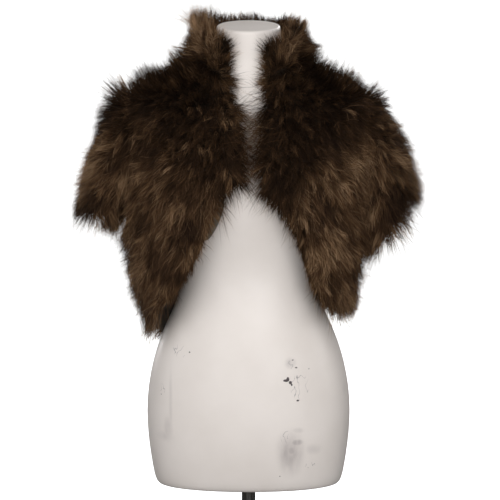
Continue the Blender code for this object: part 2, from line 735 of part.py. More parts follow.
def material(name, colour, roughness, metallic=0.0):
    """A plain Principled material."""
    made = bpy.data.materials.new(name)
    made.use_nodes = True
    shader = made.node_tree.nodes["Principled BSDF"]
    shader.inputs["Base Color"].default_value = (*colour, 1.0)
    shader.inputs["Roughness"].default_value = roughness
    shader.inputs["Metallic"].default_value = metallic
    return made


def add_mesh(name, points, faces, finish, smooth=True):
    """One named object with its mesh and material."""
    mesh = bpy.data.meshes.new(name)
    mesh.from_pydata([tuple(p) for p in points], [], [tuple(int(i) for i in f) for f in faces])
    mesh.materials.append(finish)
    if smooth:
        mesh.shade_smooth()
        mesh.set_sharp_from_angle(angle=math.radians(40))
    made = bpy.data.objects.new(name, mesh)
    bpy.context.scene.collection.objects.link(made)
    return made


def turned(name, profile, finish):
    """A solid turned about the Z axis from (radius, height) points that run up its outside."""
    turn = np.linspace(0, 2 * math.pi, ROUND_SEGMENTS, endpoint=False)
    rings = [[(r * math.cos(t), r * math.sin(t), z) for t in turn] for r, z in profile]
    place = np.arange(len(profile) * ROUND_SEGMENTS).reshape(len(profile), ROUND_SEGMENTS)
    faces = [list(q) for q in quads_of(place, True)]
    faces += [list(place[0][::-1]), list(place[-1])]
    return add_mesh(name, np.array(rings).reshape(-1, 3), faces, finish)


def make_stand():
    """The round base with its hub, the pole and the flange under the form."""
    steel = material("black_steel", (0.020, 0.019, 0.018), 0.42, 0.6)
    low, high = BASE_THICKNESS - BASE_BEVEL, BASE_THICKNESS
    base = (
        (BASE_RADIUS - BASE_BEVEL, 0.0),
        (BASE_RADIUS, BASE_BEVEL),
        (BASE_RADIUS, low),
        (BASE_RADIUS - BASE_BEVEL, high),
        (HUB_RADIUS, high + BASE_BEVEL),
        (HUB_RADIUS - BASE_BEVEL, high + HUB_HEIGHT),
    )
    turned("stand_base", base, steel)
    pole_foot = high + HUB_HEIGHT + GAP
    flange_top = FORM_BOTTOM - GAP
    flange_foot = flange_top - FLANGE_THICKNESS
    pole = ((POLE_RADIUS, pole_foot), (POLE_RADIUS, flange_foot - GAP))
    turned("stand_pole", pole, steel)
    turned("form_flange", ((FLANGE_RADIUS, flange_foot), (FLANGE_RADIUS, flange_top)), steel)


def make_form():
    """The limbless dress form as one smooth closed body."""
    plastic = material("white_form", (0.80, 0.77, 0.74), 0.38)
    rings = form_rings()
    place = np.arange(rings.shape[0] * rings.shape[1]).reshape(rings.shape[:2])
    quads = quads_of(place, True)
    faces = [list(q) for q in quads] + [list(place[0][::-1]), list(place[-1])]
    add_mesh("dress_form", rings.reshape(-1, 3), faces, plastic)


def make_garment():
    """The bolero: two fronts, a back, two sleeves, a stand collar and the lining strip that shows."""
    fur = material("brown_fur", (0.055, 0.034, 0.020), 0.75)
    lining = material("grey_lining", (0.060, 0.056, 0.048), 0.45)
    left, right, back = front_grid(-1.0), front_grid(1.0), back_grid()
    grids = {
        "left_front": left,
        "right_front": right,
        "back": back,
        "left_sleeve": sleeve_grid(SLEEVES[0], left, back[:, 0]),
        "right_sleeve": sleeve_grid(SLEEVES[1], right, back[:, -1]),
        "collar": collar_grid(left, back, right),
    }
    closed = {name: name.endswith("sleeve") for name in grids}
    garment = Garment(grids, closed)
    columns = np.arange(FRONT_COLUMNS + 1)
    parted = (columns >= LINING_FIRST_COLUMN) & (columns <= LINING_LAST_COLUMN)
    garment.overhang[garment.ids["left_front"][0, parted]] *= PARTED_FUR_SHARE
    for name in grids:
        add_mesh(name, *garment.wall(name), fur)
    add_mesh("lining_strip", *lining_strip(garment), lining)


def main():
    for old in list(bpy.data.objects):
        bpy.data.objects.remove(old)
    make_stand()
    make_form()
    make_garment()


main()
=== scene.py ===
# %% [markdown]
# # A fur bolero on a dress form
#
# The bolero is a cropped fur jacket: two cut-away fronts, a back, two cap sleeves and a stand collar.
# It hangs open on a white display torso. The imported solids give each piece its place, and this
# script gives each piece its surface: a thin pelt, tens of thousands of hairs on it, a satin lining,
# a smooth torso and a blackened steel stand.

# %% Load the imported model
import math

import bmesh
import bpy
import numpy as np
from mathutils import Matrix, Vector, kdtree, noise
from mathutils.bvhtree import BVHTree


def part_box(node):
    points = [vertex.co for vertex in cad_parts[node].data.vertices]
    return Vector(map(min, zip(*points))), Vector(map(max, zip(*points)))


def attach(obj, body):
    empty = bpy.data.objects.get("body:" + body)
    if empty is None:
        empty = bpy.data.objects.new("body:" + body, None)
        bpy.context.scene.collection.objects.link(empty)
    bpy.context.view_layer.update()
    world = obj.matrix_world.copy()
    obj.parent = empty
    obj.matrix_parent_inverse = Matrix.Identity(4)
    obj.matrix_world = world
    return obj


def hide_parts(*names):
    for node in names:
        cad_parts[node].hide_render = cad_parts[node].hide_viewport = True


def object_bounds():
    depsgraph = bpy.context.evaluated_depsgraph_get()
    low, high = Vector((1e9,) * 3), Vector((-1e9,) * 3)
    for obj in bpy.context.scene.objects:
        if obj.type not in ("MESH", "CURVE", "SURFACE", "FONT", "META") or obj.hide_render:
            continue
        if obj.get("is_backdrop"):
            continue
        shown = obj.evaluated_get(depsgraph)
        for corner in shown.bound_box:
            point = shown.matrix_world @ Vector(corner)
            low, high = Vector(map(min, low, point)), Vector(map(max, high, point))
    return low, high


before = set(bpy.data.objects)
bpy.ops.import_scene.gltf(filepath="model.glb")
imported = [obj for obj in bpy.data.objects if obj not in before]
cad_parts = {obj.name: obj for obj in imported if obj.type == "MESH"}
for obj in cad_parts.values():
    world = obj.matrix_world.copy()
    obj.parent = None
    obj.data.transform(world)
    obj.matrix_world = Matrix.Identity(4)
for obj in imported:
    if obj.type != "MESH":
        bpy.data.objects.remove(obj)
solid_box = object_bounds()
print("solids from", [round(v, 4) for v in solid_box[0]], "to", [round(v, 4) for v in solid_box[1]])

# %% [markdown]
# ## The camera
#
# The photograph was taken from a little above the garment's middle with a long lens, so the torso
# shows hardly any perspective. One pixel is 1.62 mm of the torso's middle plane, and from that
# scale, the distance and the sensor's width the lens follows.

# %% Camera
PHOTO_SIDE_PX = 500
METRES_PER_PX = 0.00162
CAMERA_DISTANCE = 4.0
CAMERA_ELEVATION = math.radians(7.0)
CAMERA_TARGET = Vector((0.0024, 0.0, 0.6312))
SENSOR_WIDTH_MM = 36.0

look = Vector((0.0, math.cos(CAMERA_ELEVATION), -math.sin(CAMERA_ELEVATION)))
bpy.ops.object.camera_add(location=CAMERA_TARGET - CAMERA_DISTANCE * look)
camera = bpy.context.object
camera.rotation_mode = "QUATERNION"
camera.rotation_quaternion = look.to_track_quat("-Z", "Y")
camera.data.sensor_width = SENSOR_WIDTH_MM
camera.data.lens = SENSOR_WIDTH_MM * CAMERA_DISTANCE / (PHOTO_SIDE_PX * METRES_PER_PX)
camera.data.clip_end = 60.0
bpy.context.scene.camera = camera
print("lens", round(camera.data.lens, 1), "mm")


def at_pixel(px, py, depth):
    """The point of the world at a depth (y) that the photograph shows at this pixel, near the middle."""
    up = (PHOTO_SIDE_PX / 2 - py) * METRES_PER_PX - depth * math.sin(CAMERA_ELEVATION)
    across = (px - PHOTO_SIDE_PX / 2) * METRES_PER_PX
    return Vector((CAMERA_TARGET.x + across, depth, CAMERA_TARGET.z + up / math.cos(CAMERA_ELEVATION)))


# %% [markdown]
# ## Small helpers for modelling
#
# Blender's operators work on what is selected, and a freshly loaded frame is selected all over. So
# every step first picks one piece alone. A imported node's mesh is loose triangles, so a copy is
# merged in edit mode before anything is done to it.

# %% Helpers
def pick_only(piece):
    """Leaves one piece selected and active."""
    if bpy.context.mode != "OBJECT":
        bpy.ops.object.mode_set(mode="OBJECT")
    bpy.ops.object.select_all(action="DESELECT")
    piece.select_set(True)
    bpy.context.view_layer.objects.active = piece


def edit(piece, choose):
    """Opens a piece in edit mode with the faces selected that the test chooses, and nothing else."""
    pick_only(piece)
    bpy.ops.object.mode_set(mode="EDIT")
    bpy.ops.mesh.select_mode(type="FACE")
    bpy.ops.mesh.select_all(action="DESELECT")
    cage = bmesh.from_edit_mesh(piece.data)
    for face in cage.faces:
        face.select = bool(choose(face))
    cage.select_flush(True)
    bmesh.update_edit_mesh(piece.data)


def close_edit():
    """Leaves edit mode."""
    bpy.ops.object.mode_set(mode="OBJECT")


def apply_all(piece):
    """Applies a piece's modifiers, top to bottom."""
    pick_only(piece)
    for modifier in list(piece.modifiers):
        bpy.ops.object.modifier_apply(modifier=modifier.name)


def placed(piece):
    """Moves a piece's place and turn into its mesh, so that its object sits at the origin."""
    pick_only(piece)
    bpy.ops.object.transform_apply(location=True, rotation=True, scale=True)


def merged_copy(node, name):
    """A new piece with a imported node's shape, its loose triangles merged."""
    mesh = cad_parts[node].data.copy()
    mesh.materials.clear()
    mesh.name = name
    piece = bpy.data.objects.new(name, mesh)
    bpy.context.scene.collection.objects.link(piece)
    edit(piece, lambda face: True)
    bpy.ops.mesh.remove_doubles(threshold=0.00001)
    bpy.ops.mesh.customdata_custom_splitnormals_clear()
    close_edit()
    return piece


def finish_piece(piece, nodes):
    """Hangs a finished piece on the root body, hides the imported nodes it stands for and prints its
    triangles.
    """
    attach(piece, "root")
    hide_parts(*nodes)
    piece.data.calc_loop_triangles()
    print(piece.name, len(piece.data.loop_triangles), "triangles")


# %% [markdown]
# ## Materials
#
# Each finish is a Principled shader. What changes over the surface is wired in from noise on Object
# coordinates or, on fur, from the hairs' own UV map. What is the same all over is typed into the
# shader's own sockets.

# %% Material helpers
def new_finish(name, roughness, metallic=0.0, specular=0.5):
    """A material with its shader, ready for more nodes."""
    made = bpy.data.materials.new(name)
    made.use_nodes = True
    shader = made.node_tree.nodes["Principled BSDF"]
    shader.inputs["Roughness"].default_value = roughness
    shader.inputs["Metallic"].default_value = metallic
    shader.inputs["Specular IOR Level"].default_value = specular
    return made, shader


def add(finish, kind, **settings):
    """A node with settings and, under inputs, values for its sockets."""
    node = finish.node_tree.nodes.new(kind)
    values = settings.pop("inputs", {})
    for key, value in settings.items():
        setattr(node, key, value)
    for key, value in values.items():
        node.inputs[key].default_value = value
    return node


def join(finish, *chain):
    """Wires sockets in pairs: out, in, out, in."""
    for out, into in zip(chain[::2], chain[1::2], strict=True):
        finish.node_tree.links.new(out, into)


def ramp(finish, source, stops):
    """A colour ramp over a factor. Stops are (place, colour)."""
    node = add(finish, "ShaderNodeValToRGB")
    marks = node.color_ramp.elements
    while len(marks) < len(stops):
        marks.new(0.5)
    for mark, (place, colour) in zip(marks, stops, strict=True):
        mark.position = place
        mark.color = (*colour, 1.0)
    join(finish, source, node.inputs["Fac"])
    return node


def noise_on(finish, scale, detail, stretch=(1.0, 1.0, 1.0)):
    """Noise on Object coordinates, stretched by a factor along each axis."""
    place = add(finish, "ShaderNodeTexCoord")
    mapping = add(finish, "ShaderNodeMapping", inputs={"Scale": stretch})
    cloud = add(finish, "ShaderNodeTexNoise", inputs={"Scale": scale, "Detail": detail})
    join(finish, place.outputs["Object"], mapping.inputs["Vector"])
    join(finish, mapping.outputs["Vector"], cloud.inputs["Vector"])
    return cloud


def bump(finish, shader, height, strength, distance):
    """Small hills and dents in a finish, from a height."""
    node = add(finish, "ShaderNodeBump", inputs={"Strength": strength, "Distance": distance})
    join(finish, height, node.inputs["Height"], node.outputs["Normal"], shader.inputs["Normal"])


def mixed(finish, factor, first, second, blend="MIX"):
    """A colour mix. Each of first and second is a socket or a colour, and so is factor or a number."""
    node = add(finish, "ShaderNodeMix", data_type="RGBA", blend_type=blend)
    for value, socket in ((factor, node.inputs[0]), (first, node.inputs[6]), (second, node.inputs[7])):
        if isinstance(value, bpy.types.NodeSocket):
            join(finish, value, socket)
        elif isinstance(value, float):
            socket.default_value = value
        else:
            socket.default_value = (*value, 1.0)
    return node.outputs[2]


def maths(finish, operation, first, second=0.0, clamp=False):
    """A sum on one or two sockets or numbers."""
    node = add(finish, "ShaderNodeMath", operation=operation, use_clamp=clamp)
    for value, socket in zip((first, second), node.inputs[:2], strict=True):
        if isinstance(value, bpy.types.NodeSocket):
            join(finish, value, socket)
        else:
            socket.default_value = value
    return node.outputs[0]


# %% [markdown]
# ## The torso's finish
#
# The torso is off-white satin plastic that has been used for years: it is a little yellowed and
# mottled, with grey smudges where stands and hands rubbed it, two chips and some hairline cracks in
# the paint. The marks sit where the photograph shows them. Each mark is an egg-shaped zone in
# Object coordinates. Inside it, thin lines along one level of a noise make the cracks.

# %% Torso finish
FORM_FRONT_Y = -0.104
OFF_WHITE = (0.792, 0.733, 0.692)
SHADED_WHITE = (0.742, 0.682, 0.638)
SMUDGE_GREY = (0.230, 0.195, 0.200)
CHIP_BROWN = (0.055, 0.040, 0.042)
CRACK_GREY = (0.240, 0.215, 0.225)
CRACK_HALF_WIDTH = 0.013
CRACK_STRENGTH = 0.75
CHIP_LEVEL = 0.26
MARK_DEPTH = 0.06

# Photo pixel, half sizes in metres (across, up), strength
SMUDGES = (
    ((290, 452), (0.017, 0.028), 0.62),
    ((296, 441), (0.008, 0.005), 1.00),
    ((291, 449), (0.007, 0.008), 0.90),
    ((297, 429), (0.008, 0.004), 0.28),
    ((293, 462), (0.010, 0.012), 0.30),
    ((290, 362), (0.007, 0.007), 0.50),
    ((171.5, 405), (0.0025, 0.050), 0.30),
    ((169, 430), (0.006, 0.018), 0.50),
    ((165, 438), (0.012, 0.007), 0.35),
    ((346, 391), (0.006, 0.016), 0.60),
    ((313, 449), (0.011, 0.007), 0.28),
)
CHIPS = (
    ((285.5, 378.8), (0.0046, 0.0022), 1.0),
    ((287.2, 377.6), (0.0024, 0.0034), 1.0),
    ((289.6, 381.0), (0.0024, 0.0028), 1.0),
    ((291.0, 383.2), (0.0013, 0.0020), 1.0),
    ((297, 399), (0.0022, 0.0015), 1.0),
    ((295.3, 366.6), (0.0022, 0.0012), 1.0),
    ((292, 359.0), (0.0016, 0.0009), 0.8),
    ((190.5, 352.5), (0.0014, 0.0012), 0.9),
    ((162, 396.5), (0.0012, 0.0011), 0.9),
    ((308, 368.5), (0.0010, 0.0009), 0.8),
    ((279.5, 474.5), (0.0016, 0.0010), 0.6),
)
CRACKED = (
    ((293, 363), (0.0090, 0.0080), 1.0),
    ((299, 385), (0.0150, 0.0210), 1.0),
    ((180, 352), (0.0130, 0.0120), 0.8),
    ((163, 391), (0.0060, 0.0130), 0.8),
    ((284, 433), (0.0060, 0.0150), 0.8),
    ((310, 465), (0.0090, 0.0050), 0.9),
)


def zones(finish, marks, softness):
    """How strongly any of the marks covers a point: 1 well inside and 0 outside."""
    place = add(finish, "ShaderNodeTexCoord").outputs["Object"]
    total = None
    for (px, py), (across, up), strength in marks:
        centre = at_pixel(px, py, FORM_FRONT_Y)
        away = add(finish, "ShaderNodeVectorMath", operation="SUBTRACT", inputs={1: centre})
        shrink = (1 / across, 1 / MARK_DEPTH, 1 / up)
        scaled = add(finish, "ShaderNodeVectorMath", operation="MULTIPLY", inputs={1: shrink})
        size = add(finish, "ShaderNodeVectorMath", operation="LENGTH")
        join(finish, place, away.inputs[0])
        join(finish, away.outputs[0], scaled.inputs[0], scaled.outputs[0], size.inputs[0])
        cover = add(finish, "ShaderNodeMapRange", interpolation_type="SMOOTHSTEP")
        cover.inputs["From Min"].default_value = 1.0 + softness
        cover.inputs["From Max"].default_value = 1.0 - softness
        cover.inputs["To Max"].default_value = strength
        join(finish, size.outputs["Value"], cover.inputs["Value"])
        total = cover.outputs[0] if total is None else maths(finish, "MAXIMUM", total, cover.outputs[0])
    return total


torso_finish, torso_shader = new_finish("torso_satin", 0.34, specular=0.45)
mottle = noise_on(torso_finish, 9.0, 4.0)
mottled = ramp(torso_finish, mottle.outputs["Fac"], ((0.35, SHADED_WHITE), (0.62, OFF_WHITE)))
cloud = noise_on(torso_finish, 90.0, 4.0, (1.0, 1.0, 0.35))
rubbed = maths(torso_finish, "MULTIPLY", zones(torso_finish, SMUDGES, 0.75), cloud.outputs["Fac"])
rubbed = maths(torso_finish, "MULTIPLY", rubbed, 1.25, clamp=True)
smudged = mixed(torso_finish, rubbed, mottled.outputs["Color"], SMUDGE_GREY)
crackle = noise_on(torso_finish, 105.0, 1.5, (1.0, 1.0, 0.55))
level = maths(torso_finish, "ABSOLUTE", maths(torso_finish, "SUBTRACT", crackle.outputs["Fac"], 0.5))
line = maths(torso_finish, "LESS_THAN", level, CRACK_HALF_WIDTH)
line = maths(torso_finish, "MULTIPLY", line, zones(torso_finish, CRACKED, 0.15))
line = maths(torso_finish, "MULTIPLY", line, CRACK_STRENGTH)
cracked = mixed(torso_finish, line, smudged, CRACK_GREY)
ragged = noise_on(torso_finish, 420.0, 2.0)
chip_edge = maths(torso_finish, "MULTIPLY", zones(torso_finish, CHIPS, 0.55), ragged.outputs["Fac"])
chipped = maths(torso_finish, "GREATER_THAN", chip_edge, CHIP_LEVEL)
torso_colour = mixed(torso_finish, chipped, cracked, CHIP_BROWN)
join(torso_finish, torso_colour, torso_shader.inputs["Base Color"])
wear = noise_on(torso_finish, 30.0, 5.0)
wear_ramp = ramp(torso_finish, wear.outputs["Fac"], ((0.3, (0.30,) * 3), (0.7, (0.44,) * 3)))
join(torso_finish, wear_ramp.outputs["Color"], torso_shader.inputs["Roughness"])
orange_peel = noise_on(torso_finish, 260.0, 2.0)
bump(torso_finish, torso_shader, orange_peel.outputs["Fac"], 0.06, 0.0004)
print("torso finish:", len(torso_finish.node_tree.nodes), "nodes")

# %% [markdown]
# ## Stand, lining and pelt finishes
#
# The stand is blackened steel with a thin worn coat: fine scratches change its gloss. The lining is
# grey-green satin. Satin is a weave whose long floats all run one way, so it shines more across
# than along them, and a fine ribbed bump gives that. The pelt under the hairs is dark and matt.

# %% Stand finish
stand_finish, stand_shader = new_finish("stand_black_steel", 0.42, metallic=0.15)
COAT_STOPS = ((0.3, (0.012, 0.010, 0.008)), (0.75, (0.034, 0.027, 0.020)))
worn_coat = noise_on(stand_finish, 60.0, 6.0)
coat_colour = ramp(stand_finish, worn_coat.outputs["Fac"], COAT_STOPS)
scratches = noise_on(stand_finish, 380.0, 3.0, (1.0, 1.0, 0.06))
scratch_gloss = ramp(stand_finish, scratches.outputs["Fac"], ((0.4, (0.30,) * 3), (0.65, (0.52,) * 3)))
join(stand_finish, coat_colour.outputs["Color"], stand_shader.inputs["Base Color"])
join(stand_finish, scratch_gloss.outputs["Color"], stand_shader.inputs["Roughness"])
bump(stand_finish, stand_shader, scratches.outputs["Fac"], 0.08, 0.0003)
print("stand finish:", len(stand_finish.node_tree.nodes), "nodes")

# %% Lining satin
lining_finish, lining_shader = new_finish("lining_satin", 0.42, specular=0.4)
lining_shader.inputs["Sheen Weight"].default_value = 0.08
floats = add(lining_finish, "ShaderNodeTexWave", wave_type="BANDS", bands_direction="DIAGONAL")
floats.inputs["Scale"].default_value = 420.0
floats.inputs["Distortion"].default_value = 1.5
thread_place = add(lining_finish, "ShaderNodeTexCoord")
join(lining_finish, thread_place.outputs["Object"], floats.inputs["Vector"])
# Painted light and shade of creases: the lining's colour turns paler and darker in long upright streaks
crease_light_and_shade = noise_on(lining_finish, 45.0, 3.0, (1.0, 1.0, 0.4))
SATIN_CREASE_SHADE_STOPS = ((0.3, (0.040, 0.038, 0.031)), (0.7, (0.085, 0.082, 0.068)))
lining_crease_shading = ramp(lining_finish, crease_light_and_shade.outputs["Fac"], SATIN_CREASE_SHADE_STOPS)
join(lining_finish, lining_crease_shading.outputs["Color"], lining_shader.inputs["Base Color"])
bump(lining_finish, lining_shader, floats.outputs["Fac"], 0.25, 0.0002)
print("lining finish:", len(lining_finish.node_tree.nodes), "nodes")

# %% Pelt under the hairs
pelt_finish, pelt_shader = new_finish("pelt_ground", 0.85, specular=0.2)
pelt_noise = noise_on(pelt_finish, 150.0, 4.0)
PELT_STOPS = ((0.3, (0.010, 0.007, 0.005)), (0.7, (0.030, 0.019, 0.012)))
pelt_tint = ramp(pelt_finish, pelt_noise.outputs["Fac"], PELT_STOPS)
join(pelt_finish, pelt_tint.outputs["Color"], pelt_shader.inputs["Base Color"])
bump(pelt_finish, pelt_shader, pelt_noise.outputs["Fac"], 0.5, 0.0010)
print("pelt finish:", len(pelt_finish.node_tree.nodes), "nodes")

# %% [markdown]
# ## The fur's finish
#
# A hair is dark at its root and paler and greyer towards its tip, and each lock has a tone of its
# own. Both are written into the hairs' UV map when they are made: u holds the lock's tone and v
# runs from root to tip. So the colour needs no image and stays with each hair in any view.

# %% Fur finish
FUR_UV = "OFBake"
TONE_STOPS = (
    (0.00, (0.0100, 0.0054, 0.0032)),
    (0.25, (0.0225, 0.0125, 0.0072)),
    (0.50, (0.0480, 0.0255, 0.0130)),
    (0.75, (0.1250, 0.0690, 0.0345)),
    (1.00, (0.3800, 0.2400, 0.1380)),
)
ROOT_TO_TIP_STOPS = (
    (0.00, (0.22, 0.21, 0.21)),
    (0.45, (0.70, 0.69, 0.68)),
    (0.78, (1.22, 1.22, 1.20)),
    (1.00, (2.30, 2.35, 2.40)),
)
fur_finish, fur_shader = new_finish("brown_fur", 0.65, specular=0.04)
hair_map = add(fur_finish, "ShaderNodeUVMap", uv_map=FUR_UV)
hair_place = add(fur_finish, "ShaderNodeSeparateXYZ")
join(fur_finish, hair_map.outputs["UV"], hair_place.inputs["Vector"])
tone_ramp = ramp(fur_finish, hair_place.outputs["X"], TONE_STOPS)
# The tips' factors pass one, so the ramp holds half of each and the product is added to itself
halved = [(place, tuple(c / 2 for c in colour)) for place, colour in ROOT_TO_TIP_STOPS]
tip_ramp = ramp(fur_finish, hair_place.outputs["Y"], halved)
fur_colour = mixed(fur_finish, 1.0, tone_ramp.outputs["Color"], tip_ramp.outputs["Color"], "MULTIPLY")
fur_colour = mixed(fur_finish, 1.0, fur_colour, fur_colour, "ADD")
join(fur_finish, fur_colour, fur_shader.inputs["Base Color"])
print("fur finish:", len(fur_finish.node_tree.nodes), "nodes")

# %% [markdown]
# ## The torso
#
# The solid of the torso is faceted. A merged copy has its triangles paired back into four-sided
# faces, its flat bottom and neck cap made one face each and inset, so that subdivision keeps their
# rims crisp, and then one level of subdivision rounds everything else.

# %% Torso
RIM_INSET = 0.0012
END_INSET = 0.004
torso = merged_copy("dress_form", "torso")
torso_low, torso_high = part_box("dress_form")


def is_bottom(face):
    return face.normal.z < -0.99 and face.calc_center_median().z < torso_low.z + 0.001


def is_neck_cap(face):
    return face.normal.z > 0.98 and face.calc_center_median().z > torso_high.z - 0.020


for is_end in (is_bottom, is_neck_cap):
    edit(torso, is_end)
    bpy.ops.mesh.dissolve_faces()
    bpy.ops.mesh.inset(thickness=RIM_INSET)
    close_edit()
edit(torso, lambda face: len(face.verts) == 3)
bpy.ops.mesh.tris_convert_to_quads(face_threshold=math.radians(60), shape_threshold=math.radians(60))
close_edit()
for is_end in (is_bottom, is_neck_cap):
    edit(torso, lambda face: is_end(face) and len(face.verts) > 8)
    bpy.ops.mesh.inset(thickness=END_INSET)
    close_edit()
rounding = torso.modifiers.new("rounding", "SUBSURF")
rounding.levels = rounding.render_levels = 1
apply_all(torso)
pick_only(torso)
bpy.ops.object.shade_smooth_by_angle(angle=math.radians(35))
torso.data.materials.append(torso_finish)
finish_piece(torso, ["dress_form"])

# %% [markdown]
# ## The stand
#
# Base, hub, pole and flange are turned steel. Each starts as a primitive cylinder at its place, is
# inset and extruded where it steps, and gets small bevels, because no real rim is knife sharp. Their
# sizes come from the solids' own boxes.

# %% Stand
ROUND_SIDES = 96
HUB_RADIUS = 0.024
HUB_TOP_RADIUS = 0.021
RIM_BEVEL = 0.0012
THIN_BEVEL = 0.0006
POLE_SIDES = 48


def turned_cylinder(name, node, sides=ROUND_SIDES, high=None):
    """A cylinder as wide as a node, from its foot to its top or to a height."""
    box_low, box_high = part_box(node)
    foot = box_low.z
    top = box_high.z if high is None else high
    centre = ((box_low.x + box_high.x) / 2, (box_low.y + box_high.y) / 2, (foot + top) / 2)
    radius = (box_high.x - box_low.x) / 2
    bpy.ops.mesh.primitive_cylinder_add(vertices=sides, radius=radius, depth=top - foot, location=centre)
    made = bpy.context.object
    made.name = made.data.name = name
    placed(made)
    return made


def rim_bevel(piece, width, segments=3):
    """Softens the sharp rims of a turned piece."""
    soft = piece.modifiers.new("rim", "BEVEL")
    soft.width = width
    soft.segments = segments
    soft.limit_method = "ANGLE"
    soft.angle_limit = math.radians(40)
    apply_all(piece)
    pick_only(piece)
    bpy.ops.object.shade_smooth_by_angle(angle=math.radians(35))


BASE_THICKNESS = 0.010
base_low, base_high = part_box("stand_base")
base = turned_cylinder("base_plate", "stand_base", high=base_low.z + BASE_THICKNESS)
edit(base, lambda face: face.normal.z > 0.9)
bpy.ops.mesh.inset(thickness=(base_high.x - base_low.x) / 2 - HUB_RADIUS)
bpy.ops.mesh.extrude_region_move(TRANSFORM_OT_translate={"value": (0, 0, base_high.z - BASE_THICKNESS)})
shrink = HUB_TOP_RADIUS / HUB_RADIUS
bpy.ops.transform.resize(value=(shrink, shrink, 1.0), center_override=(0, 0, base_high.z))
close_edit()
rim_bevel(base, RIM_BEVEL)
pole = turned_cylinder("pole", "stand_pole", POLE_SIDES)
rim_bevel(pole, THIN_BEVEL, 2)
flange = turned_cylinder("flange", "form_flange")
rim_bevel(flange, THIN_BEVEL, 2)
for piece, node in ((base, "stand_base"), (pole, "stand_pole"), (flange, "form_flange")):
    piece.data.materials.append(stand_finish)
    finish_piece(piece, [node])

# %% [markdown]
# ## The cloth's surfaces
#
# A fur jacket is cut from flat pelts that are sewn into a shape. The panels here follow the same
# sections as the solids: rings of a squarish oval from hem to neckline, a hem that rises towards the
# front, armholes that notch the side seam, and sleeves that leave the armhole and turn down. A
# section table is read on a smooth curve through its rows.

# %% Section tables
FORM_BOTTOM = 0.250
SQUARENESS = 2.35
CUFF_SQUARENESS = 2.3
# Front, side and back height, left and right half width, front and back depth, left and right edge
BODY = np.array(
    (
        (0.200, 0.200, 0.200, 0.146, 0.148, 0.118, 0.134, -0.014, 0.026),
        (0.280, 0.280, 0.280, 0.154, 0.153, 0.124, 0.124, -0.014, 0.026),
        (0.340, 0.340, 0.340, 0.171, 0.161, 0.128, 0.115, -0.014, 0.026),
        (0.400, 0.400, 0.400, 0.181, 0.171, 0.133, 0.107, -0.014, 0.026),
        (0.455, 0.452, 0.455, 0.187, 0.183, 0.136, 0.104, -0.013, 0.024),
        (0.510, 0.510, 0.512, 0.188, 0.188, 0.134, 0.106, -0.010, 0.021),
        (0.555, 0.560, 0.562, 0.187, 0.187, 0.121, 0.110, -0.011, 0.022),
        (0.585, 0.602, 0.602, 0.185, 0.185, 0.107, 0.110, -0.014, 0.026),
        (0.606, 0.634, 0.632, 0.178, 0.178, 0.094, 0.106, -0.018, 0.029),
        (0.622, 0.648, 0.652, 0.152, 0.152, 0.083, 0.099, -0.024, 0.030),
        (0.634, 0.660, 0.668, 0.122, 0.122, 0.074, 0.090, -0.029, 0.029),
        (0.643, 0.675, 0.681, 0.099, 0.099, 0.067, 0.081, -0.032, 0.029),
        (0.650, 0.688, 0.692, 0.083, 0.083, 0.063, 0.074, -0.034, 0.029),
    )
)
ARMPIT_ROW, SHOULDER_TIP_ROW, NECKLINE_ROW = 4, 8, 12
ARMHOLE_DEPTH = {"front": 24.0, "back": 20.0}
ARMHOLE_ROUNDNESS = 0.62
DRAPE_WAVES, DRAPE_DEPTH, DRAPE_TOP, DRAPE_PHASE = 7, 0.007, 0.480, 0.7
# Degrees turned from the front centre, hem height on the left and on the right
HEM = np.array(
    (
        (0.0, 0.508, 0.490),
        (8.0, 0.494, 0.482),
        (14.0, 0.478, 0.468),
        (20.0, 0.438, 0.442),
        (26.0, 0.378, 0.408),
        (32.0, 0.356, 0.362),
        (40.0, 0.325, 0.322),
        (52.0, 0.304, 0.302),
        (70.0, 0.288, 0.297),
        (90.0, 0.270, 0.296),
        (115.0, 0.234, 0.284),
        (140.0, 0.222, 0.262),
        (180.0, 0.236, 0.236),
    )
)
# Left front, right front, side and back height, half width, front and back depth
COLLAR = np.array(
    (
        (0.650, 0.650, 0.688, 0.692, 0.083, 0.063, 0.074),
        (0.672, 0.669, 0.706, 0.713, 0.080, 0.066, 0.075),
        (0.695, 0.688, 0.724, 0.731, 0.080, 0.068, 0.077),
        (0.717, 0.706, 0.742, 0.746, 0.082, 0.070, 0.080),
    )
)
# Cuff ring: inner x and height, outer x and height, half depth, and the sleeve head's reach
CUFFS = {
    "left": (-1.0, 0.221, 0.440, 0.256, 0.455, 0.068, 0.062),
    "right": (1.0, 0.208, 0.392, 0.258, 0.474, 0.070, 0.038),
}
UNDERARM_REACH = 0.022
LEAVING, HEAD_RISE, UNDERARM_DROP = 2.2, 0.015, 0.055
HANG, HANG_LIMIT, FLARE = 1.25, 0.13, 0.22
ROWS_BELOW_ARMPIT, ROWS_OF_ARMHOLE, ROWS_OF_SHOULDER = 10, 12, 5
FRONT_COLUMNS, FRONT_CROWDING, BACK_COLUMNS = 12, 1.35, 26
SLEEVE_ROWS, COLLAR_ROWS = 10, 4
print("sections:", len(BODY), "body,", len(HEM), "hem,", len(COLLAR), "collar")


# %% Reading the tables
def along(rows, at):
    """A table read at fractional row numbers, on a smooth curve through its rows."""
    at = np.clip(np.asarray(at, float), 0, len(rows) - 1)
    low = np.minimum(at.astype(int), len(rows) - 2)
    part = (at - low)[..., None]
    padded = np.vstack((2 * rows[0] - rows[1], rows, 2 * rows[-1] - rows[-2]))
    a, b, c, d = (padded[low + k] for k in range(4))
    bend = (2 * a - 5 * b + 4 * c - d) * part**2 + (3 * b - a - 3 * c + d) * part**3
    return 0.5 * (2 * b + (c - a) * part + bend)


def oval(sine, cosine, squareness=SQUARENESS):
    """What turns a point of an ellipse into the point of a squarer oval in the same direction."""
    return (np.abs(sine) ** squareness + np.abs(cosine) ** squareness) ** (-1 / squareness)


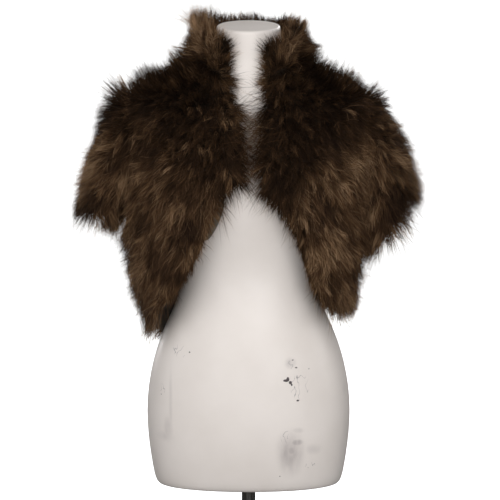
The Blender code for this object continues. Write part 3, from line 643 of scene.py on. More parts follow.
def body_point(row, turn):
    """The body's cloth at fractional section rows and turns from the front in degrees, left negative."""
    front_h, side_h, back_h, left, right, front, back, _, _ = np.moveaxis(along(BODY, row), -1, 0)
    angle = np.radians(turn)
    sine, cosine = np.sin(angle), np.cos(angle)
    half_width = np.where(sine < 0, left, right)
    end_height = np.where(cosine > 0, front_h, back_h)
    height = side_h + (end_height - side_h) * cosine**2
    hanging = np.clip((DRAPE_TOP - height) / DRAPE_TOP, 0, 1)
    wave = 1 + DRAPE_DEPTH / half_width * hanging * np.sin(DRAPE_WAVES * angle + DRAPE_PHASE)
    size = oval(sine, cosine) * wave
    depth = np.where(cosine > 0, front, back)
    return np.stack((half_width * sine * size, -depth * cosine * size, FORM_BOTTOM + height), -1)


def hem_row(turn):
    """The fractional section row at which the hem lies, at a turn from the front."""
    at = np.interp(np.abs(turn), HEM[:, 0], np.arange(len(HEM)))
    _, left, right = along(HEM, at).T
    height = np.where(np.asarray(turn) < 0, left, right)
    rows = np.arange(ARMPIT_ROW + 2)
    share = np.cos(np.radians(turn)) ** 2
    found = []
    for level, part, ahead in zip(height, share, np.abs(turn) < 90, strict=True):
        end = BODY[rows, 0] if ahead else BODY[rows, 2]
        found.append(np.interp(level, BODY[rows, 1] + (end - BODY[rows, 1]) * part, rows))
    return np.array(found)


def outer_turn(row, depth):
    """How far a panel's outer edge is turned from the front: the side seam, notched by the armhole."""
    share = np.clip((row - ARMPIT_ROW) / (SHOULDER_TIP_ROW - ARMPIT_ROW), 0, 1)
    return 90 - depth * np.sin(math.pi * share) ** ARMHOLE_ROUNDNESS


def seam_rows(side):
    """The section rows of the side seam, armhole and shoulder on one side."""
    left_hem = float(hem_row(np.array([-90.0]))[0])
    hem = float(hem_row(np.array([side * 90.0]))[0])
    below = np.linspace(left_hem, ARMPIT_ROW, ROWS_BELOW_ARMPIT + 1)[:-1]
    beside = np.linspace(ARMPIT_ROW, SHOULDER_TIP_ROW, ROWS_OF_ARMHOLE + 1)[:-1]
    above = np.linspace(SHOULDER_TIP_ROW, NECKLINE_ROW, ROWS_OF_SHOULDER + 1)
    below = hem + (below - left_hem) * (ARMPIT_ROW - hem) / (ARMPIT_ROW - left_hem)
    return np.concatenate((below, beside, above))


def progress_of(seam):
    """How far along the seam each of its rows lies, from 0 to 1."""
    return (seam - seam[0]) / (seam[-1] - seam[0])


print("side seam rows:", np.round(seam_rows(-1.0)[:3], 2))


# %% Panels as grids of points
def front_grid(side):
    """A front, rows from hem to neckline and columns from its front edge to its side."""
    across = np.linspace(0, 1, FRONT_COLUMNS + 1) ** FRONT_CROWDING
    edge_column, width_column = (7, 3) if side < 0 else (8, 4)

    def turns(row):
        section = along(BODY, row)
        edge = np.degrees(np.arctan(np.abs(section[..., edge_column]) / section[..., width_column]))
        return edge + (outer_turn(row, ARMHOLE_DEPTH["front"]) - edge) * across

    hem = np.full(FRONT_COLUMNS + 1, float(ARMPIT_ROW))
    for _ in range(12):
        hem = hem_row(side * turns(hem))
    rows = hem + (NECKLINE_ROW - hem) * progress_of(seam_rows(side))[:, None]
    return body_point(rows, side * turns(rows))


def back_grid():
    """The back, rows from hem to neckline and columns from the left side to the right."""
    across = np.linspace(-1, 1, BACK_COLUMNS + 1)
    left, right = (progress_of(seam_rows(side))[:, None] for side in (-1.0, 1.0))
    progress = left + (right - left) * (1 + across) / 2
    side = np.where(across < 0, -1, 1)
    hem = hem_row(side * (180 - 90 * np.abs(across)))
    rows = hem + (NECKLINE_ROW - hem) * progress
    return body_point(rows, side * (180 - outer_turn(rows, ARMHOLE_DEPTH["back"]) * np.abs(across)))


def collar_grid(left_front, back, right_front):
    """The collar, rows from the neckline to its top edge, columns from left end to right end."""
    neckline = np.concatenate((left_front[-1], back[-1, 1:-1], right_front[-1, ::-1]))
    base = COLLAR[0]
    sine = neckline[:, 0] / base[4]
    cosine = -neckline[:, 1] / np.where(neckline[:, 1] < 0, base[5], base[6])
    size = np.hypot(sine, cosine)
    sine, cosine = sine / size, cosine / size
    grid = [neckline]
    for row in np.linspace(0, len(COLLAR) - 1, COLLAR_ROWS + 1)[1:]:
        left_h, right_h, side_h, back_h, half_width, front, back_depth = along(COLLAR, row)
        depth = np.where(cosine > 0, front, back_depth)
        end_height = np.where(cosine > 0, np.where(sine < 0, left_h, right_h), back_h)
        height = side_h + (end_height - side_h) * cosine**2
        ring = oval(sine, cosine)
        spots = (half_width * sine * ring, -depth * cosine * ring, FORM_BOTTOM + height)
        grid.append(np.stack(spots, -1))
    return np.array(grid)


def sleeve_grid(cuff, front, back_column):
    """A sleeve, rows from armhole to cuff, closed round, starting at the shoulder tip."""
    side, inner_x, inner_height, outer_x, outer_height, half_depth, head_reach = cuff
    low, high = ROWS_BELOW_ARMPIT, ROWS_BELOW_ARMPIT + ROWS_OF_ARMHOLE
    armhole = np.concatenate((front[low : high + 1, -1][::-1], back_column[low + 1 : high]))
    round_it = np.linspace(0, 2 * math.pi, len(armhole), endpoint=False)
    topness, frontness = np.cos(round_it), np.sin(round_it)
    ring = oval(topness, frontness, CUFF_SQUARENESS)
    inner = np.array((side * inner_x, 0, FORM_BOTTOM + inner_height))
    outer = np.array((side * outer_x, 0, FORM_BOTTOM + outer_height))
    edge = (inner + outer) / 2 + (outer - inner) / 2 * (topness * ring)[:, None]
    edge[:, 1] -= half_depth * frontness * ring
    reach = UNDERARM_REACH + (head_reach - UNDERARM_REACH) * (1 + topness) / 2
    rise = (HEAD_RISE * (1 + topness) - UNDERARM_DROP * (1 - topness)) / 2
    leaving = np.stack((side * reach * LEAVING, 0 * reach, rise), -1)
    drop = (armhole[:, 2] - edge[:, 2])[:, None]
    hang = np.array((side * FLARE, 0.0, -1.0)) * np.minimum(HANG_LIMIT, drop) * HANG
    share = np.linspace(0, 1, SLEEVE_ROWS + 1)[:, None, None]
    start = (2 * share**3 - 3 * share**2 + 1) * armhole + (share**3 - 2 * share**2 + share) * leaving
    return start + (3 * share**2 - 2 * share**3) * edge + (share**3 - share**2) * hang


left_front, right_front, back = front_grid(-1.0), front_grid(1.0), back_grid()
GRIDS = {
    "back": back,
    "left_front": left_front,
    "right_front": right_front,
    "left_sleeve": sleeve_grid(CUFFS["left"], left_front, back[:, 0]),
    "right_sleeve": sleeve_grid(CUFFS["right"], right_front, back[:, -1]),
    "collar": collar_grid(left_front, back, right_front),
}
print({name: grid.shape[:2] for name, grid in GRIDS.items()})

# %% [markdown]
# ## From grids to cloth
#
# Each grid is read again at twice its rows and columns on smooth curves, pushed clear of the torso
# where it rests on it, and given a few soft creases: upright folds where the cloth hangs free under
# the bust and the shoulder blades, and short pulls at the armpits and in the sleeves.

# %% Helpers for grids
REFINING = 2
CLOTH_CLEARANCE = 0.0006
TORSO_REACH = 0.03
CLOSED = {name: name.endswith("sleeve") for name in GRIDS}
GROUPS = (("left_front", "back", "right_front"), ("left_sleeve",), ("right_sleeve",), ("collar",))


def unit(vectors):
    """The vectors at length one."""
    return vectors / np.maximum(np.linalg.norm(vectors, axis=-1, keepdims=True), 1e-12)


def read_axis(grid, at, axis):
    """A grid read at fractional places along one of its axes."""
    moved = np.moveaxis(grid, axis, 0)
    found = along(moved.reshape(len(moved), -1), at).reshape(len(at), *moved.shape[1:])
    return np.moveaxis(found, 0, axis)


def refined(grid, closed):
    """The grid with more rows and columns, on smooth curves through the old ones."""
    rows, columns = grid.shape[:2]
    grid = read_axis(grid, np.linspace(0, rows - 1, (rows - 1) * REFINING + 1), 0)
    if not closed:
        return read_axis(grid, np.linspace(0, columns - 1, (columns - 1) * REFINING + 1), 1)
    wrapped = np.concatenate((grid[:, -2:], grid, grid[:, :3]), 1)
    return read_axis(wrapped, 2 + np.arange(columns * REFINING) / REFINING, 1)


def quads_of(shape, closed):
    """The four-cornered faces of a grid, by point number."""
    ids = np.arange(shape[0] * shape[1]).reshape(shape[:2])
    if closed:
        ids = np.hstack((ids, ids[:, :1]))
    return np.stack((ids[:-1, :-1], ids[:-1, 1:], ids[1:, 1:], ids[1:, :-1]), -1).reshape(-1, 4)


def outward_quads(points, closed):
    """A panel's faces, turned so that their normals leave the wearer."""
    quads = quads_of(points.shape, closed)
    flat = points.reshape(-1, 3)
    a, b, c, d = (flat[quads[:, k]] for k in range(4))
    centre = flat.mean(0) if closed else np.array((0.0, 0.0, flat[:, 2].mean()))
    if (np.cross(c - a, d - b) * ((a + b + c + d) / 4 - centre)).sum() < 0:
        return quads[:, ::-1]
    return quads


def tree_of(mesh):
    """A search tree over a mesh's faces."""
    return BVHTree.FromPolygons([v.co for v in mesh.vertices], [p.vertices[:] for p in mesh.polygons])


torso_tree = tree_of(torso.data)


def clear_of_torso(points):
    """The points, moved out wherever they would be nearer to the torso than the cloth's clearance."""
    flat = points.reshape(-1, 3).copy()
    for k, point in enumerate(flat):
        near, normal, _, _ = torso_tree.find_nearest(Vector(point), TORSO_REACH)
        if near is not None and (Vector(point) - near).dot(normal) < CLOTH_CLEARANCE:
            flat[k] = near + CLOTH_CLEARANCE * normal
    return flat.reshape(points.shape)


# %% Creases
# Start (row share, column share), end, width as a share, and height in metres
CREASES = {
    "left_front": (
        ((0.05, 0.50), (0.42, 0.58), 0.060, 0.0035),
        ((0.02, 0.76), (0.36, 0.84), 0.050, 0.0030),
        ((0.36, 0.90), (0.50, 0.62), 0.045, 0.0025),
    ),
    "right_front": (
        ((0.05, 0.46), (0.40, 0.55), 0.060, 0.0035),
        ((0.02, 0.72), (0.35, 0.82), 0.050, 0.0030),
        ((0.36, 0.90), (0.52, 0.60), 0.045, 0.0025),
    ),
    "back": (
        ((0.02, 0.30), (0.38, 0.34), 0.030, 0.0040),
        ((0.00, 0.50), (0.30, 0.49), 0.035, 0.0035),
        ((0.02, 0.70), (0.38, 0.66), 0.030, 0.0040),
        ((0.42, 0.10), (0.55, 0.32), 0.030, 0.0025),
        ((0.42, 0.90), (0.55, 0.68), 0.030, 0.0025),
    ),
    "left_sleeve": (
        ((0.30, 0.30), (0.95, 0.24), 0.050, 0.0030),
        ((0.25, 0.66), (0.90, 0.74), 0.050, 0.0030),
    ),
    "right_sleeve": (
        ((0.30, 0.34), (0.95, 0.28), 0.050, 0.0030),
        ((0.25, 0.70), (0.90, 0.76), 0.050, 0.0030),
    ),
    "collar": (),
}
SEAM_WINDOW = 0.10


def crease_height(shape, creases, closed):
    """How far the creases lift each point of a panel. They die out towards its seams."""
    rows = np.linspace(0, 1, shape[0])[:, None]
    columns = np.linspace(0, 1, shape[1], endpoint=not closed)[None, :]
    lift = np.zeros(shape[:2])
    for start, end, width, height in creases:
        run = np.subtract(end, start)
        share = ((rows - start[0]) * run[0] + (columns - start[1]) * run[1]) / (run**2).sum()
        share = np.clip(share, 0, 1)
        away = np.hypot(rows - start[0] - share * run[0], columns - start[1] - share * run[1])
        lift += height * np.exp(-((away / width) ** 2))
    if closed:
        return lift * np.clip(rows / SEAM_WINDOW, 0, 1)
    to_seam = np.minimum(1 - rows, np.minimum(columns, 1 - columns))
    return lift * np.clip(to_seam / SEAM_WINDOW, 0, 1)


# %% Panels with normals
def merged_ids(points):
    """Numbers that are the same for points in the same place."""
    _, ids = np.unique(np.round(points, 5), axis=0, return_inverse=True)
    return ids.reshape(-1)


def group_normals(names, grids):
    """The normals of panels that run on smoothly into each other."""
    flats = [grids[name].reshape(-1, 3) for name in names]
    starts = np.cumsum([0] + [len(flat) for flat in flats])
    points = np.concatenate(flats)
    ids = merged_ids(points)
    total = np.zeros((ids.max() + 1, 3))
    for name, start in zip(names, starts[:-1], strict=True):
        quads = outward_quads(grids[name], CLOSED[name]) + start
        a, b, c, d = (points[quads[:, k]] for k in range(4))
        across = np.cross(c - a, d - b)
        for k in range(4):
            np.add.at(total, ids[quads[:, k]], across)
    normals = unit(total)[ids]
    return {
        name: normals[start : start + len(flat)].reshape(grids[name].shape)
        for name, start, flat in zip(names, starts[:-1], flats, strict=True)
    }


def all_normals(grids):
    """The normals of every panel, group by group."""
    found = {}
    for names in GROUPS:
        found.update(group_normals(names, grids))
    return found


fine = {name: clear_of_torso(refined(grid, CLOSED[name])) for name, grid in GRIDS.items()}
smooth_normals = all_normals(fine)
CLOTH = {}
for name, points in fine.items():
    lift = crease_height(points.shape, CREASES[name], CLOSED[name])
    CLOTH[name] = points + smooth_normals[name] * lift[..., None]
NORMALS = all_normals(CLOTH)
print({name: points.shape[:2] for name, points in CLOTH.items()})

# %% [markdown]
# ## The pelts
#
# Under the hairs lies the skin of the fur, about a millimetre thick with its satin lining sewn in.
# Each panel's grid becomes a mesh, and a Solidify modifier gives it that thickness outwards: its
# outside is pelt and its inside is lining. The hairs hide the outside, and the lining shows under
# the hem, in the cuffs and inside the collar.

# %% Pelts
PELT_THICKNESS = 0.0012


def mesh_from(name, points, faces, finishes):
    """A new piece from arrays of points and faces."""
    mesh = bpy.data.meshes.new(name)
    mesh.from_pydata(points.reshape(-1, 3).tolist(), [], faces.tolist())
    for finish in finishes:
        mesh.materials.append(finish)
    mesh.shade_smooth()
    piece = bpy.data.objects.new(name, mesh)
    bpy.context.scene.collection.objects.link(piece)
    return piece


def flat_measures(points, closed):
    """A grid's widest row, longest column and whole area."""
    round_it = np.concatenate((points, points[:, :1]), 1) if closed else points
    wide = np.linalg.norm(np.diff(round_it, axis=1), axis=-1).sum(1).max()
    long = np.linalg.norm(np.diff(round_it, axis=0), axis=-1).sum(0).max()
    quads = quads_of(points.shape, closed)
    a, b, c, d = (points.reshape(-1, 3)[quads[:, k]] for k in range(4))
    return wide, long, np.linalg.norm(np.cross(c - a, d - b), axis=-1).sum() / 2


for name, points in CLOTH.items():
    closed = CLOSED[name]
    pelt = mesh_from(name + "_pelt", points, outward_quads(points, closed), [pelt_finish, lining_finish])
    thick = pelt.modifiers.new("thickness", "SOLIDIFY")
    thick.thickness = PELT_THICKNESS
    thick.offset = 1.0
    thick.material_offset = 1
    apply_all(pelt)
    finish_piece(pelt, [name])

# %% [markdown]
# ## The strip of lining that shows
#
# Under the left front's hem the fur parts, and a hand's breadth of the satin lining shows. It is a
# narrow sheet that starts behind the hem and hangs a little below it, with two small folds.

# %% Lining strip
STRIP_COLUMNS = (2.6, 3.8)
STRIP_STEPS = (24, 8)
STRIP_THICKNESS = 0.0008
STRIP_FOLD = 0.0009
STRIP_GAP = 0.0013
# How far the strip starts behind the hem: along the cloth, and inwards
STRIP_TUCK = (0.007, 0.003)
# How far it hangs below the hem: at its ends, and how much more in its middle
STRIP_DROP = (0.002, 0.013)


def hem_frame(at):
    """The left front's hem at fractional columns: points, normals, and ways over the edge."""
    edge = read_axis(CLOTH["left_front"][0], at * REFINING, 0)
    normal = unit(read_axis(NORMALS["left_front"][0], at * REFINING, 0))
    above = read_axis(CLOTH["left_front"][1], at * REFINING, 0)
    out = np.cross(np.gradient(edge, axis=0), normal)
    out *= np.sign((out * (edge - above)).sum(-1, keepdims=True))
    return edge, normal, unit(out)


columns = np.linspace(*STRIP_COLUMNS, STRIP_STEPS[0] + 1)
edge, normal, out = hem_frame(columns)
bulge = np.sin(np.linspace(0, math.pi, STRIP_STEPS[0] + 1))[:, None] ** 0.5
under = edge - normal * STRIP_GAP
inside = under - out * STRIP_TUCK[0] - normal * STRIP_TUCK[1]
outside = under + out * (STRIP_DROP[0] + STRIP_DROP[1] * bulge)
share = np.linspace(0, 1, STRIP_STEPS[1] + 1)[:, None, None]
strip = inside + (outside - inside) * share
folds = np.sin(np.linspace(0, 5 * math.pi, STRIP_STEPS[0] + 1)) * bulge[:, 0]
strip = strip - normal * STRIP_FOLD * np.abs(folds)[:, None] * share
strip_faces = quads_of(strip.shape, False)
corner = strip.reshape(-1, 3)[strip_faces]
facing = (np.cross(corner[:, 2] - corner[:, 0], corner[:, 3] - corner[:, 1]) * normal.mean(0)).sum()
if facing < 0:
    strip_faces = strip_faces[:, ::-1]
lining_piece = mesh_from("lining_patch", strip, strip_faces, [lining_finish])
thick = lining_piece.modifiers.new("thickness", "SOLIDIFY")
thick.thickness = STRIP_THICKNESS
thick.offset = 1.0
apply_all(lining_piece)
finish_piece(lining_piece, ["lining_strip"])

# %% [markdown]
# ## How the fur lies
#
# Fur has a nap: the hairs lean one way. Here they run out from the neck and down the body, along the
# sleeves to the cuffs, and up over the collar. At the two front edges they turn towards the middle
# and stand out over the gap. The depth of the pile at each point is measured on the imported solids:
# a ray leaves the cloth along its normal and stops at the solid's outer wall. Soft noise turns the
# lean a little from place to place. It has a fixed seed, so each run grows the same fur.

# %% Depth of the pile
BARE_DEPTH = 0.006
PILE_RANGE = (0.004, 0.030)
RAY_LENGTH = 0.05
RAY_STEP = 0.0003


def pile_depth(name):
    """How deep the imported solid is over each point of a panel's cloth."""
    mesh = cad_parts[name].data
    tree = tree_of(mesh)
    found = []
    for point, way in zip(CLOTH[name].reshape(-1, 3), NORMALS[name].reshape(-1, 3), strict=True):
        origin, way = Vector(point), Vector(way)
        start, depth = origin + way * PELT_THICKNESS, BARE_DEPTH
        for _ in range(4):
            hit, normal, _, _ = tree.ray_cast(start, way, RAY_LENGTH)
            if hit is None:
                break
            if normal.dot(way) > 0:
                depth = (hit - origin).dot(way)
                break
            start = hit + way * RAY_STEP
        found.append(depth)
    depth = np.clip(np.array(found), *PILE_RANGE)
    return depth.reshape(CLOTH[name].shape[:2])


DEPTHS = {name: pile_depth(name) for name in CLOTH}
for name, depth in DEPTHS.items():
    print(name, "pile", np.round(np.percentile(depth, (5, 50, 95)) * 1000, 1).tolist(), "mm")

# %% Free edges
FREE_EDGES = {
    "back": ((0, 0),),
    "left_front": ((1, 0), (0, 0)),
    "right_front": ((1, 0), (0, 0)),
    "left_sleeve": ((0, -1),),
    "right_sleeve": ((0, -1),),
    "collar": ((0, -1), (1, 0), (1, -1)),
}
EDGE_SPACING = 0.002


def edge_lines(name):
    """Each free edge as (points, normals, ways over the edge, pile depth), evenly spaced."""
    lines = []
    for axis, end in FREE_EDGES[name]:
        points, normals = (np.moveaxis(grid, axis, 0) for grid in (CLOTH[name], NORMALS[name]))
        depth = np.moveaxis(DEPTHS[name], axis, 0)[end]
        inner = points[1 if end == 0 else -2]
        points, normals = points[end], normals[end]
        stack = np.hstack((points, normals, inner, depth[:, None]))
        if CLOSED[name]:
            stack = np.vstack((stack, stack[:1]))
        length = np.linalg.norm(np.diff(stack[:, :3], axis=0), axis=1).sum()
        stack = along(stack, np.linspace(0, len(stack) - 1, int(length / EDGE_SPACING)))
        line, normal, inner, depth = np.split(stack, (3, 6, 9), axis=1)
        normal = unit(normal)
        over = np.cross(np.gradient(line, axis=0), normal)
        over *= np.sign((over * (line - inner)).sum(-1, keepdims=True))
        lines.append((line, normal, unit(over), depth[:, 0]))
    return lines


EDGES = {name: edge_lines(name) for name in CLOTH}
print({name: [len(line[0]) for line in lines] for name, lines in EDGES.items()})

# %% Nap
NAP_SPREAD = np.array((2.6, 1.2, 0.0))
EDGE_TURN_REACH = 0.020
EDGE_FALL = {name: 0.25 if name == "collar" else -0.75 for name in CLOTH}
NAP_NOISE_SIZE = 0.045
NAP_NOISE = 0.30
# Where in the noise each kind of drift is read
NOISE_PLACES = {"nap": 3.0, "tone": 11.0, "back_tone": 23.0, "tuft": 41.0, "edge": 61.0}
# Without a seed the vector noise starts at another place in each run
NOISE_SEED = 3
noise.seed_set(NOISE_SEED)


def drift(points, size, kind):
    """Three smooth numbers from about -1 to 1 for each point, varying over a size."""
    shift = Vector((1, -1, 2)) * NOISE_PLACES[kind]
    flat = points.reshape(-1, 3)
    found = [noise.noise_vector(Vector(p) / size + shift) for p in flat]
    return np.array(found).reshape(points.shape) * 1.6


def base_nap(name):
    """Which way the hairs lean before the edges turn them."""
    points, normals = CLOTH[name], NORMALS[name]
    up_the_rows = unit(np.gradient(points, axis=0))
    if name.endswith("sleeve"):
        way = up_the_rows + np.array((0.0, 0.0, -0.25))
    elif name == "collar":
        share = np.linspace(0, 1, points.shape[0])[:, None, None]
        outwards = unit(points * (1, 1, 0))
        way = up_the_rows * (0.15 + 0.85 * share) + outwards * 0.35
        way = way - np.array((0, 0, 0.5)) * (1 - share) ** 2
    else:
        way = points * NAP_SPREAD
        way[..., 2] = -1.0
    way = way - normals * (way * normals).sum(-1, keepdims=True)
    return unit(way)


def nap_of(name):
    """The lean of the hairs at each point, and the way's distance to the nearest free edge."""
    way = base_nap(name) + NAP_NOISE * drift(CLOTH[name], NAP_NOISE_SIZE, "nap")
    lines = EDGES[name]
    points = np.concatenate([line[0] for line in lines])
    over = np.concatenate([line[2] for line in lines])
    finder = kdtree.KDTree(len(points))
    for k, point in enumerate(points):
        finder.insert(point, k)
    finder.balance()
    near = [finder.find(p) for p in CLOTH[name].reshape(-1, 3)]
    far = np.array([found[2] for found in near]).reshape(way.shape[:2])
    towards = over[[found[1] for found in near]].reshape(way.shape)
    towards = unit(towards + np.array((0.0, 0.0, EDGE_FALL[name])))
    turn = np.exp(-((far / EDGE_TURN_REACH) ** 2))[..., None]
    way = way * (1 - 0.6 * turn) + towards * turn
    normals = NORMALS[name]
    way = way - normals * (way * normals).sum(-1, keepdims=True)
    return unit(way), far


NAPS = {name: nap_of(name) for name in CLOTH}
print("nap found for", len(NAPS), "panels")

# %% [markdown]
# ## Tones
#
# The fur is brown all over, and its tone changes from place to place. The upper fronts are darkest,
# and the lower fronts, the outer sleeves, the left end of the collar and a band across each chest are
# paler. Each such zone is a soft ball placed by its pixel in the photograph. Round the back, where
# nothing is seen, broad soft noise takes their place.

# %% Tone zones
BASE_TONE = 0.40
CLOTH_FRONT_Y = -0.12
TONE_ZONES = (
    ((178, 112), 0.065, -0.20),
    ((318, 112), 0.070, -0.20),
    ((155, 176), 0.050, 0.03),
    ((350, 180), 0.055, 0.12),
    ((160, 265), 0.075, 0.11),
    ((330, 265), 0.075, 0.15),
    ((278, 170), 0.045, -0.20),
    ((215, 170), 0.040, -0.17),
    ((98, 185), 0.050, 0.26),
    ((402, 182), 0.055, 0.17),
    ((205, 30), 0.045, 0.48),
    ((300, 34), 0.040, 0.18),
)
TONE_CLOUD_SIZE = 0.060
TONE_CLOUD = 0.12
BACK_CLOUD_SIZE = 0.120
BACK_CLOUD = 0.18


def tones_at(points):
    """The fur's tone at points, from 0, darkest, to 1, palest."""
    flat = points.reshape(-1, 3)
    tone = np.full(len(flat), BASE_TONE)
    in_front = 1 / (1 + np.exp((flat[:, 1] - 0.02) / 0.015))
    for (px, py), reach, change in TONE_ZONES:
        centre = at_pixel(px, py, CLOTH_FRONT_Y)
        away = np.hypot(flat[:, 0] - centre.x, flat[:, 2] - centre.z)
        tone += in_front * change * np.exp(-((away / reach) ** 2))
    tone += TONE_CLOUD * drift(flat, TONE_CLOUD_SIZE, "tone")[:, 0]
    tone += (1 - in_front) * BACK_CLOUD * drift(flat, BACK_CLOUD_SIZE, "back_tone")[:, 0]
    return tone.reshape(points.shape[:-1])


TONES = {name: tones_at(points) for name, points in CLOTH.items()}
print({name: round(float(tone.mean()), 2) for name, tone in TONES.items()})

# %% [markdown]
# ## Tufts
#
# Long fur falls into tufts a few centimetres wide: the hair on a tuft stands high and catches light,
# and the valley beside it is low and dark. A soft noise gives them, and the same noise paints that
# light and dark into the hairs' colour: painted light on the tufts, painted shade in the valleys.
# Beside that the pile is fuller in some places than in others. On the shoulders and round the foot
# of the collar it stands up and fills the corner, and at the collar's top it is thin. Zones placed by
# pixel say where.

# %% Tufts and zones of the pile
EDGE_OVERHANG = 0.019
TUFT_SIZE = 0.024
TUFT_STRETCH = np.array((1.0, 1.0, 0.62))
TUFT_GAIN = 0.45
# Painted light and shade of the tufts: how much paler a tuft's hairs and darker a valley's are painted
TUFT_PAINTED_LIGHT_AND_SHADE = 0.27
EDGE_WAVE_SIZE = 0.011
EDGE_WAVE = 0.45
PILE_SHARES = (0.35, 3.0)
# Pixel, reach in metres, and share of the pile's depth added there
PILE_ZONES = (
    ((184, 58), 0.026, 1.15),
    ((315, 54), 0.026, 1.35),
    ((147, 74), 0.022, 1.90),
    ((346, 76), 0.022, 0.75),
    ((194, 30), 0.026, -0.95),
    ((304, 26), 0.026, -0.95),
    ((312, 46), 0.016, 0.80),
    ((118, 90), 0.026, 1.50),
    ((372, 90), 0.020, 0.90),
    ((386, 114), 0.020, -0.60),
    ((408, 146), 0.020, -0.30),
    ((88, 148), 0.026, -0.45),
    ((90, 214), 0.018, 0.45),
    ((366, 229), 0.022, 1.80),
    ((122, 226), 0.022, 2.60),
    ((358, 300), 0.016, -0.40),
)
# Pixel, reach, and share of the hairs' overhang added there
OVERHANG_ZONES = (
    ((271, 24), 0.018, -0.60),
    ((309, 30), 0.018, -0.90),
    ((290, 28), 0.014, 0.40),
    ((207, 29), 0.018, 1.40),
    ((250, 22), 0.014, 0.70),
    ((90, 204), 0.028, 0.95),
    ((118, 212), 0.018, 1.40),
    ((398, 222), 0.040, 1.20),
    ((372, 240), 0.018, 0.80),
    ((252, 142), 0.034, 2.20),
    ((258, 114), 0.020, 1.10),
    ((253, 166), 0.022, 1.20),
    ((241, 108), 0.030, 0.70),
    ((262, 92), 0.030, 0.85),
    ((237, 82), 0.022, 0.80),
    ((262, 128), 0.020, 0.50),
    ((273, 210), 0.016, 0.40),
    ((214, 188), 0.018, 1.40),
    ((201, 266), 0.022, -0.80),
    ((186, 278), 0.014, -0.80),
    ((166, 306), 0.012, 1.20),
    ((299, 258), 0.040, -0.50),
    ((158, 312), 0.016, 1.50),
    ((143, 312), 0.010, -0.60),
    ((331, 304), 0.016, 1.40),
    ((354, 300), 0.012, -0.30),
)
# Pixel, reach, and how upright the hairs stand, up to 1
STANDING_ZONES = (
    ((180, 60), 0.045, 0.75),
    ((318, 60), 0.045, 0.75),
    ((135, 80), 0.035, 0.60),
    ((358, 78), 0.035, 0.60),
    ((197, 52), 0.022, 0.35),
    ((302, 46), 0.028, 0.35),
)


def zone_sum(points, marks):
    """What zones placed by pixel add up to at each point, whatever its depth."""
    total = np.zeros(points.shape[:-1])
    for (px, py), reach, change in marks:
        centre = at_pixel(px, py, 0.0)
        away = np.hypot(points[..., 0] - centre.x, points[..., 2] - centre.z)
        total += change * np.exp(-((away / reach) ** 2))
    return total


def hair_layers(name):
    """All that a hair needs to know about its root, at each point of a panel's cloth."""
    points, normals = CLOTH[name], NORMALS[name]
    nap, far = NAPS[name]
    wave = 1 + EDGE_WAVE * drift(points, EDGE_WAVE_SIZE, "edge")[..., 0]
    tuft = np.clip(drift(points * TUFT_STRETCH, TUFT_SIZE, "tuft")[..., 1], -1, 1)
    pile = np.clip(1 + TUFT_GAIN * tuft + zone_sum(points, PILE_ZONES), *PILE_SHARES)
    upright = 0.55 * np.clip(normals[..., 2], 0, 1) * (name != "collar")
    standing = np.clip(upright + zone_sum(points, STANDING_ZONES), 0, 0.85)
    rows = np.broadcast_to(np.linspace(0, 1, points.shape[0])[:, None], points.shape[:2])
    reach = np.maximum(1 + zone_sum(points, OVERHANG_ZONES), 0.15)
    return {
        "root": points,
        "normal": normals,
        "nap": nap,
        "depth": (DEPTHS[name] * pile)[..., None],
        "far": far[..., None],
        # The tone holds the fur's own tone plus the tufts' painted light and shade
        "tone": (TONES[name] + TUFT_PAINTED_LIGHT_AND_SHADE * tuft)[..., None],
        "standing": standing[..., None],
        "overhang": (EDGE_OVERHANG * wave * reach)[..., None],
        "row": rows[..., None],
    }


LAYERS = {name: hair_layers(name) for name in CLOTH}
print("layers at each root:", list(LAYERS["back"]))

# %% [markdown]
# ## Hairs
#
# Each panel is one mesh of many thin tapered ribbons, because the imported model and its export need
# real faces and not a particle system. Two coats grow: a short dark undercoat that hides the pelt,
# and long guard hairs on top. Guard hairs stick together in pointed locks, so every hair is pulled
# towards the path of its nearest lock, most of all at its tip. A few stray hairs stay free. On the
# free edges a fringe fans over the edge, so that no bare rim shows. Hairs that would stand far out
# of the solids' box are softly held back, so the dressed piece keeps its size.

# %% Growing hairs
# Length and half width in metres, rise as a share of the pile's depth, and added tone
COATS = {
    "guard": {"length": (0.026, 0.046), "half": 0.00028, "rise": (0.66, 1.24), "tone": 0.04},
    "under": {"length": (0.016, 0.026), "half": 0.00045, "rise": (0.40, 0.74), "tone": -0.20},
}
PULL = {"guard": 0.80, "under": 0.35}
STEPS = {"guard": 3, "under": 2}
LONGER = 0.35
LOCK_SPACING = 0.0056
LOCKS_PER_PATCH = 1.25
LOCK_LENGTH = (0.030, 0.046)
LOCK_RISE = (0.66, 1.18)
LOCK_TONE = 0.16
HAIR_TONE = 0.10
RAISED_SHARE = 0.22
RAISED_RISE = (1.15, 1.65)
STRAY_SHARE = 0.12
STRAY_HALF = 0.00019
STRAY_TONE = 0.12
STRAY_RISE = (1.05, 1.60)
LEAN_JITTER = 0.20
LOCK_JITTER = 0.40
FRIZZ = 0.0010
BOX_LOW, BOX_HIGH = (np.array(corner, float) for corner in solid_box)
BOX_MARGIN = np.array((0.012, 0.009, 0.028))


